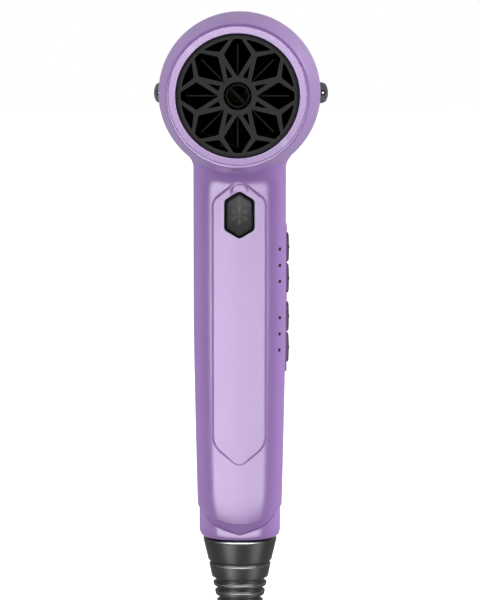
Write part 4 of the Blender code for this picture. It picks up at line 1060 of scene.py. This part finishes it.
def make_key():
    bezel_outer, bezel_inner = six_sided(6.5 * MM, 10.4 * MM), six_sided(5.9 * MM, 9.8 * MM)
    frame_front, frame_back = FRONT_Y - 0.8 * MM, FRONT_Y + 1.8 * MM

    def loop(outline, y, grow=0.0):
        return [Vector((u * (1 + grow), y, BUTTON_Z + v * (1 + grow))) for u, v in outline]

    soft = 0.18 * MM
    rows = [
        loop(bezel_outer, frame_back),
        loop(bezel_outer, frame_front + soft),
        loop(bezel_outer, frame_front + 0.05 * MM, -0.008),
        loop(bezel_outer, frame_front, -0.02),
        loop(bezel_inner, frame_front, 0.02),
        loop(bezel_inner, frame_front + 0.05 * MM, 0.008),
        loop(bezel_inner, frame_front + soft),
        loop(bezel_inner, frame_back),
    ]
    add_piece("key_surround", lofted(rows), "key_plastic", replaces=["key_bezel"], material=DARK_MOULDING_AND_PAINTED_SHADE)
    outline = six_sided(*KEY_HALF, radius=1.2 * MM, steps=6)

    def face_row(share, back=0.0):
        places = [(u * share, v * share) for u, v in outline]
        return [Vector((u, key_face(u, v) + back, BUTTON_Z + v)) for u, v in places]

    rows = [loop(outline, FRONT_Y + 2.8 * MM)]
    for share, back in ((1.0, 0.4), (0.994, 0.2), (0.98, 0.06), (0.95, 0.0)):
        rows.append(face_row(share, back * MM))
    for share in (0.88, 0.8, 0.7, 0.6, 0.5, 0.4, 0.3, 0.2, 0.1, 0.02):
        rows.append(face_row(share))
    cap = lofted(rows, close=False, caps=True)
    flange = facing_front(six_sided(7.5 * MM, 11.4 * MM), FRONT_Y + 2.5 * MM, FRONT_Y + 3.5 * MM)
    stem = rod((0, FRONT_Y + 3 * MM, BUTTON_Z), (0, FRONT_Y + 7.8 * MM, BUTTON_Z), 2 * MM)
    key = joined(cap, flange, stem, *snowflake())
    add_piece("cool_shot_key", key, "key_plastic", "cool_key", ["cool_key"])


def make_key_spring():
    """The key's return spring, between the key and the switch, built as a coil at rest."""
    start, end, turns, steps = FRONT_Y + 4.2 * MM, FRONT_Y + 9.4 * MM, 3.5, 24
    radius, wire = 3.4 * MM, 0.3 * MM  # of the coil's centre line, and of its wire
    rows = []
    for k in range(int(turns * steps) + 1):
        angle = 2 * math.pi * k / steps
        outward = Vector((math.cos(angle), 0, math.sin(angle)))
        along = start + wire + (end - start - 2 * wire) * k / (turns * steps)
        centre = Vector((0, along, BUTTON_Z)) + outward * radius
        section = [outward * math.cos(a) + Vector((0, math.sin(a), 0)) for a in circle(10)]
        rows.append([centre + place * wire for place in section])
    spring = lofted(rows, close=False, caps=True)
    piece = add_piece("key_return_spring", spring, "steel", replaces=["cool_key_spring"])
    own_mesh(piece)


def snowflake():
    """A plain six-armed flake that stands a little above the key's face."""
    strokes = []
    for k in range(6):
        turn = Matrix.Rotation(math.pi / 3 * k, 2)
        arm = [((0, 0.3), (0, 3.4)), ((0, 1.6), (0.95, 2.4)), ((0, 1.6), (-0.95, 2.4))]
        arm += [((0, 2.5), (0.7, 3.1)), ((0, 2.5), (-0.7, 3.1))]
        strokes += [tuple(turn @ (Vector(p) * 1.2 * MM) for p in ends) for ends in arm]
    half, rise, sunk = 0.2 * MM, 0.13 * MM, 0.1 * MM
    meshes = []
    for a, b in strokes:
        along = (b - a).normalized()
        side = Vector((-along.y, along.x)) * half
        rows = []
        count = 4
        for k in range(count + 1):
            p = a.lerp(b, k / count)
            places = [(p - side, sunk), (p - side * 0.7, -rise), (p + side * 0.7, -rise), (p + side, sunk)]
            rows.append([Vector((q.x, key_face(q.x, q.y) + lift, BUTTON_Z + q.y)) for q, lift in places])
        meshes.append(lofted(rows, close=False, caps=True))
    return meshes


# ---------------------------------------------------------------- rockers
ROCKER_ROUNDING = [(-4.7, 0.6), (-4.7, 0.42), (-4.62, 0.2), (-4.35, 0.0)]
ROCKER_ROUNDING += [(-y, shrink) for y, shrink in reversed(ROCKER_ROUNDING)]


def rocker_width(v):
    """The share of its full width that a rocker has v above its middle, as its ends are rounded off."""
    past = max(0.0, abs(v) - 10.8 * MM) / (2.7 * MM)
    return 1 - 0.25 * past**1.5


def make_rockers():
    half = [(20.5, 0.45), (21.95, 0.9), (22.1, 3.0), (22.15, 7.1), (22.05, 12.2), (21.7, 13.4), (20.4, 13.5)]
    half += [(18.9, 13.3), (18.9, 2.4), (16.8, 2.5), (15.2, 1.9), (14.4, 0.9)]
    softness = [0.4, 1.0, 2.0, 2.0, 1.0, 0.5, 0.5, 0.3, 0.4, 0.5, 0.5, 0.4]
    outline = half + [(x, -v) for x, v in reversed(half)]
    outline = rounded([(x * MM, v * MM) for x, v in outline], [r * MM for r in softness + softness[::-1]], 4)
    for which, z in ROCKER_Z.items():
        pivot = Vector((ROCKER_PIN_X, HANDLE_Y, z))
        rows = []
        for y, shrink in ROCKER_ROUNDING:
            ring = offset_loop([Vector(p) for p in outline], shrink * MM)
            rows.append([Vector((u, HANDLE_Y + y * MM * rocker_width(v), z + v)) for u, v in ring])
        cap = lofted(rows, close=False, caps=True)
        tooth = block(
            (12.2 * MM, HANDLE_Y - 1.5 * MM, z - 0.8 * MM), (16 * MM, HANDLE_Y + 1.5 * MM, z + 0.8 * MM)
        )
        bore = rod(pivot - Vector((0, 9 * MM, 0)), pivot + Vector((0, 9 * MM, 0)), 1.3 * MM)
        cap = combined(cap, ("UNION", tooth), ("DIFFERENCE", bore))
        dots = []
        for side in (-1, 1):
            profile = [(0, 0.26), (0.5, 0.23), (0.85, 0.14), (1.05, 0.0), (1.05, -0.3), (0, -0.3)]
            centre = (22.12 * MM, HANDLE_Y, z + side * 7.1 * MM)
            dots.append(turned([(r * MM, t * MM) for r, t in profile], centre, "X", 24))
        name = f"{which}_rocker_cap"
        add_piece(name, joined(cap, *dots), "key_plastic", f"{which}_rocker", [f"{which}_rocker"])


def make_lamps():
    """Six small indicator windows on the handle's front right edge."""
    for k, z in enumerate((186.8, 179.5, 172.3, 156.1, 148.8, 141.6)):
        z *= MM
        half_width, half_depth = handle_half_sizes(z)
        out = Vector((1, -1, 0)).normalized()
        flat = (half_width - HANDLE_CORNER, half_depth - HANDLE_CORNER)
        at = Vector((flat[0], HANDLE_Y - flat[1], z)) + out * (HANDLE_CORNER + 0.02 * MM)
        turn = out.to_track_quat("Z", "Y")
        rows = []
        for radius, lift in ((0.8, -0.4), (0.8, 0.0), (0.74, 0.06), (0.5, 0.09), (0.2, 0.1)):
            ring = [Vector((radius * math.cos(a), radius * math.sin(a), lift)) for a in circle(20)]
            rows.append([at + turn @ place * MM for place in ring])
        add_piece(f"indicator_{k + 1}", lofted(rows, close=False, caps=True), "key_plastic", material=LAMP)


# ---------------------------------------------------------------- filter
def make_filter():
    """The pull-off frame with its two finger lugs, and the perforated cover."""
    axis = (0, 0, BARREL_Z)
    inner, skirt = 30.6 * MM, 32.5 * MM
    start, end = FLANGE_Y
    profile = [
        ((inner, start - 8 * MM), 0.3),
        ((skirt, start - 8 * MM), 0.5),
        ((skirt, start), 0.2),
        ((FLANGE_RADIUS, start), 0.4),
        ((FLANGE_RADIUS, end), 0.9),
        ((inner, end), 0.3),
    ]
    rim = turned(rounded([c for c, _ in profile], [r * MM for _, r in profile], 3), axis, steps=108)
    steps = []
    for side in (-1, 1):
        steps.append(("UNION", lug(side)))
        hole = Vector((side * LUG_HOLE[0], 0, BARREL_Z - LUG_DROP))
        ends = [hole + Vector((0, y, 0)) for y in (start - MM, end + MM)]
        steps.append(("DIFFERENCE", rod(*ends, LUG_HOLE[1], 20)))
    rim = bevelled(combined(rim, *steps), 0.2 * MM, 2, 50)
    add_piece("filter_rim", rim, "black_plastic", "filter", ["filter_frame"])
    for name, side in (("left", -1), ("right", 1)):
        ring = [(0.55, 0.6), (0.55, -0.25), (0.65, -0.4), (1.05, -0.4), (1.2, -0.2), (1.2, 0.6)]
        centre = (side * LUG_HOLE[0], start, BARREL_Z - LUG_DROP)
        ring = turned([(r * MM, y * MM) for r, y in ring], centre, steps=32)
        add_piece(f"lug_eyelet_{name}", ring, "black_plastic", "filter", material=DARK_MOULDING_AND_PAINTED_SHADE)
    seat = end + GAP
    dome = [
        ((0, TAIL_Y - 1.8 * MM), 0),
        ((20 * MM, TAIL_Y - 3 * MM), 2),
        ((30 * MM, seat + 2.2 * MM), 1),
        ((31 * MM, seat), 0.2),
        ((33.9 * MM, seat), 0.4),
        ((32.8 * MM, seat + 3.1 * MM), 1.5),
        ((20.8 * MM, TAIL_Y - 1.3 * MM), 4),
        ((9 * MM, TAIL_Y), 4),
        ((0, TAIL_Y), 0),
    ]
    dome = turned(rounded([c for c, _ in dome], [r * MM for _, r in dome], 5), axis, steps=108)
    cutter = flower_cutter(1.16, seat - MM, TAIL_Y + 2 * MM, 6.6 * MM)
    cover = bevelled(combined(dome, ("DIFFERENCE", cutter)), 0.2 * MM, 2, 50)
    add_piece("filter_dome", cover, "body_plastic", "filter", ["filter_cover"])


def lug(side):
    """A finger grip that stands out of the frame's flange."""
    half = [(LUG_ROOT, 4.8 * MM)]
    half += [(LUG_REACH - inward * MM, v * MM) for inward, v in ((2.7, 4.8), (1.0, 4.0), (0.3, 2.4), (0, 1))]
    outline = half + [(u, -v) for u, v in reversed(half)]
    origin = (0, 0, BARREL_Z - LUG_DROP)
    return extruded(outline, FLANGE_Y[0], FLANGE_Y[1] - 0.4 * MM, origin, (side, 0, 0), (0, 0, 1), (0, 1, 0))


# ---------------------------------------------------------------- CAD nodes that stay
NODE_SLOTS = {
    "steel": "cover_screw_upper cover_screw_lower thermal_fuse bearing_front bearing_rear motor_can "
    "motor_shaft speed_rocker_pin heat_rocker_pin",
    "iron": "stator_core rotor_magnet",
    "mica": "heat_sleeve mica_centre_tube " + " ".join(f"mica_fin_{k + 1}" for k in range(PETALS)),
    "heating_wire": "heater_coil_front heater_coil_rear",
    "black_plastic": "thermostat motor_end_bell motor_mount fan_impeller cool_switch_body "
    "speed_switch_body heat_switch_body cord_clamp",
    "white_nylon": "cool_switch_plunger speed_switch_slider heat_switch_slider terminal_block",
    "relief_rubber": "duct_seal",
    "board": "control_board",
    "capacitor_case": "mains_capacitor",
    "copper_wire": "choke_coil",
    "heatsink": "triac_heatsink",
    "red_lead": "motor_lead mains_lead",
    "white_lead": "heater_lead cool_switch_lead",
    "body_plastic": "switch_plate",
}
SOFT_EDGES = {"switch_plate": 0.35, "fan_impeller": 0.2, "motor_mount": 0.2, "control_board": 0.15}
SOFT_EDGES |= {"mains_capacitor": 0.8, "terminal_block": 0.5, "cord_clamp": 0.6, "triac_heatsink": 0.2}
SOFT_EDGES |= {"cool_switch_body": 0.4, "speed_switch_body": 0.3, "heat_switch_body": 0.3}


def finish_cad_nodes():
    for slot, names in NODE_SLOTS.items():
        for name in names.split():
            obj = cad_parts[name]
            obj.data.materials.clear()
            obj.data.materials.append(FINISH[slot])
            if name in SOFT_EDGES:
                bevel = obj.modifiers.new("soft edges", "BEVEL")
                bevel.width = SOFT_EDGES[name] * MM
                bevel.segments = 3
                bevel.limit_method = "ANGLE"
                bevel.angle_limit = math.radians(50)
    # The thermal fuse, motor can, motor shaft, thermostat, end bell, motor mount and duct seal get near-black
    # looks as painted shade for the inside of the barrel.
    looks = [("filter_mesh", MESH_STEEL), ("thermal_fuse", FUSE_STEEL_PAINTED_SHADE)]
    looks += [("bearing_front", BRONZE), ("motor_can", MOTOR_STEEL_PAINTED_SHADE), ("motor_shaft", MOTOR_STEEL_PAINTED_SHADE)]
    looks += [(name, DARK_MOULDING_AND_PAINTED_SHADE) for name in ("thermostat", "motor_end_bell", "motor_mount", "duct_seal")]
    for name, look in looks:
        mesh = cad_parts[name].data
        mesh.materials.clear()
        mesh.materials.append(look)


# ---------------------------------------------------------------- stage, light and camera
def make_stage():
    s = Shader("pale_floor")
    s.link(s.blend(s.noise(0.4, 2.0), (0.5, 0.5, 0.5), (0.55, 0.55, 0.55)), s.surface.inputs["Base Color"])
    s.link(s.spread(s.noise(0.05, 3.0), 0.75, 0.85), s.surface.inputs["Roughness"])
    s.set(Emission_Color=(1, 1, 1, 1), Emission_Strength=0.85)
    rows = [[Vector((r * math.cos(a), r * math.sin(a), 0)) for a in circle(64)] for r in (9.0, 0.01)]
    floor = bpy.data.objects.new("floor", lofted(rows, close=False, caps=True))
    floor.data.materials.append(s.material)
    floor.visible_glossy = False
    floor.visible_diffuse = False
    floor.visible_shadow = False
    bpy.context.scene.collection.objects.link(floor)


def softbox(name, location, target, size, radiance, diffuse=True, glossy=True, only=None):
    """A rectangular light of a known radiance, which the camera doesn't see. only names the pieces it lights,
    where those are not all of them."""
    data = bpy.data.lights.new(name, "AREA")
    data.shape = "RECTANGLE"
    data.size, data.size_y = size
    data.energy = radiance * math.pi * size[0] * size[1]
    obj = bpy.data.objects.new(name, data)
    obj.location = location
    aim = Vector(target) - Vector(location)
    obj.rotation_euler = aim.to_track_quat("-Z", "Y").to_euler()
    obj.visible_camera = False
    obj.visible_diffuse = diffuse
    obj.visible_glossy = glossy
    bpy.context.scene.collection.objects.link(obj)
    if only:
        receivers = bpy.data.collections.new(f"{name}_receivers")
        for piece in only:
            receivers.objects.link(bpy.data.objects[piece])
        obj.light_linking.receiver_collection = receivers


SHELLS = "front_housing back_cover front_panel foot_collar filter_rim".split()
SHELLS += ["speed_rocker_cap", "heat_rocker_cap"]


def make_lights():
    middle = (0, 0, 0.17)
    sheens = (("sheen_left", -0.063, 0.094, 12.4), ("sheen_right", 0.036, 0.052, 12.6))
    for name, x, width, radiance in sheens:
        place, aim = (x, -0.28, 0.07), (x, 0, 0.07)
        softbox(name, place, aim, (width, 0.37), radiance, diffuse=False, only=SHELLS)
    ring, relief = ["outlet_trim_ring"], ["ribbed_relief"]
    keys = ["cool_shot_key", "speed_rocker_cap", "heat_rocker_cap"]
    softbox("ring_sheen", (0, -0.7, 0.45), (0, 0, 0.25), (0.7, 0.5), 11.0, diffuse=False, only=ring)
    softbox("key_sheen", (0, -0.7, 0.285), (0, 0, 0.2), (0.5, 0.1), 14.0, diffuse=False, only=keys)
    softbox("relief_top", (0, -0.5, 0.6), (0, 0, 0.04), (1.6, 0.4), 60.0, diffuse=False, only=relief)
    softbox("relief_left", (-0.3, -0.42, -0.26), (0, 0, 0.03), (0.3, 0.3), 6.0, diffuse=False, only=relief)
    softbox("relief_right", (0.45, -0.26, -0.26), (0, 0, 0.03), (0.3, 0.3), 4.0, diffuse=False, only=relief)
    softbox("overhead", (0.0, -0.2, 1.5), middle, (1.4, 1.0), 1.4, glossy=False)
    softbox("side_right", (1.2, 0.0, 0.25), middle, (0.9, 0.9), 4.8, glossy=False)
    softbox("side_left", (-1.2, 0.0, 0.25), middle, (0.9, 0.9), 3.0, glossy=False)
    softbox("rim_right", (0.75, 0.75, 0.7), (0, 0, 0.26), (0.5, 0.5), 3.0)
    world = bpy.data.worlds.new("studio")
    world.use_nodes = True
    tree = world.node_tree
    ambient = tree.nodes["Background"]
    ambient.inputs["Color"].default_value = (0.97, 0.98, 1.0, 1)
    path = tree.nodes.new("ShaderNodeLightPath")
    levels = tree.nodes.new("ShaderNodeMix")
    levels.inputs["A"].default_value = 0.78
    levels.inputs["B"].default_value = 0.4
    tree.links.new(path.outputs["Is Glossy Ray"], levels.inputs["Factor"])
    tree.links.new(levels.outputs["Result"], ambient.inputs["Strength"])
    seen = tree.nodes.new("ShaderNodeBackground")
    seen.inputs["Color"].default_value = (1, 1, 1, 1)
    mix = tree.nodes.new("ShaderNodeMixShader")
    tree.links.new(path.outputs["Is Camera Ray"], mix.inputs["Fac"])
    tree.links.new(ambient.outputs["Background"], mix.inputs[1])
    tree.links.new(seen.outputs["Background"], mix.inputs[2])
    tree.links.new(mix.outputs["Shader"], tree.nodes["World Output"].inputs["Surface"])
    bpy.context.scene.world = world


def make_camera():
    """The photograph's view: level with the barrel, a little to the right, looking slightly down."""
    data = bpy.data.cameras.new("camera")
    data.lens = 150
    data.sensor_width = 36
    data.clip_start, data.clip_end = 0.05, 30
    camera = bpy.data.objects.new("camera", data)
    camera.location = (0.0145, HANDLE_Y - 1.125, 0.2795)
    turn, pitch = math.atan2(14.5, 1125), math.radians(5.95)
    aim = Vector((-math.sin(turn) * math.cos(pitch), math.cos(turn) * math.cos(pitch), -math.sin(pitch)))
    camera.rotation_euler = aim.to_track_quat("-Z", "Y").to_euler()
    bpy.context.scene.collection.objects.link(camera)
    bpy.context.scene.camera = camera


make_camera()
make_stage()
bpy.context.scene.view_settings.view_transform = "Standard"
front_skin = make_housings()
make_panel(front_skin)
make_collar()
make_strain_relief()
make_outlet()
make_key()
make_key_spring()
make_rockers()
make_lamps()
make_filter()
finish_cad_nodes()
make_lights()
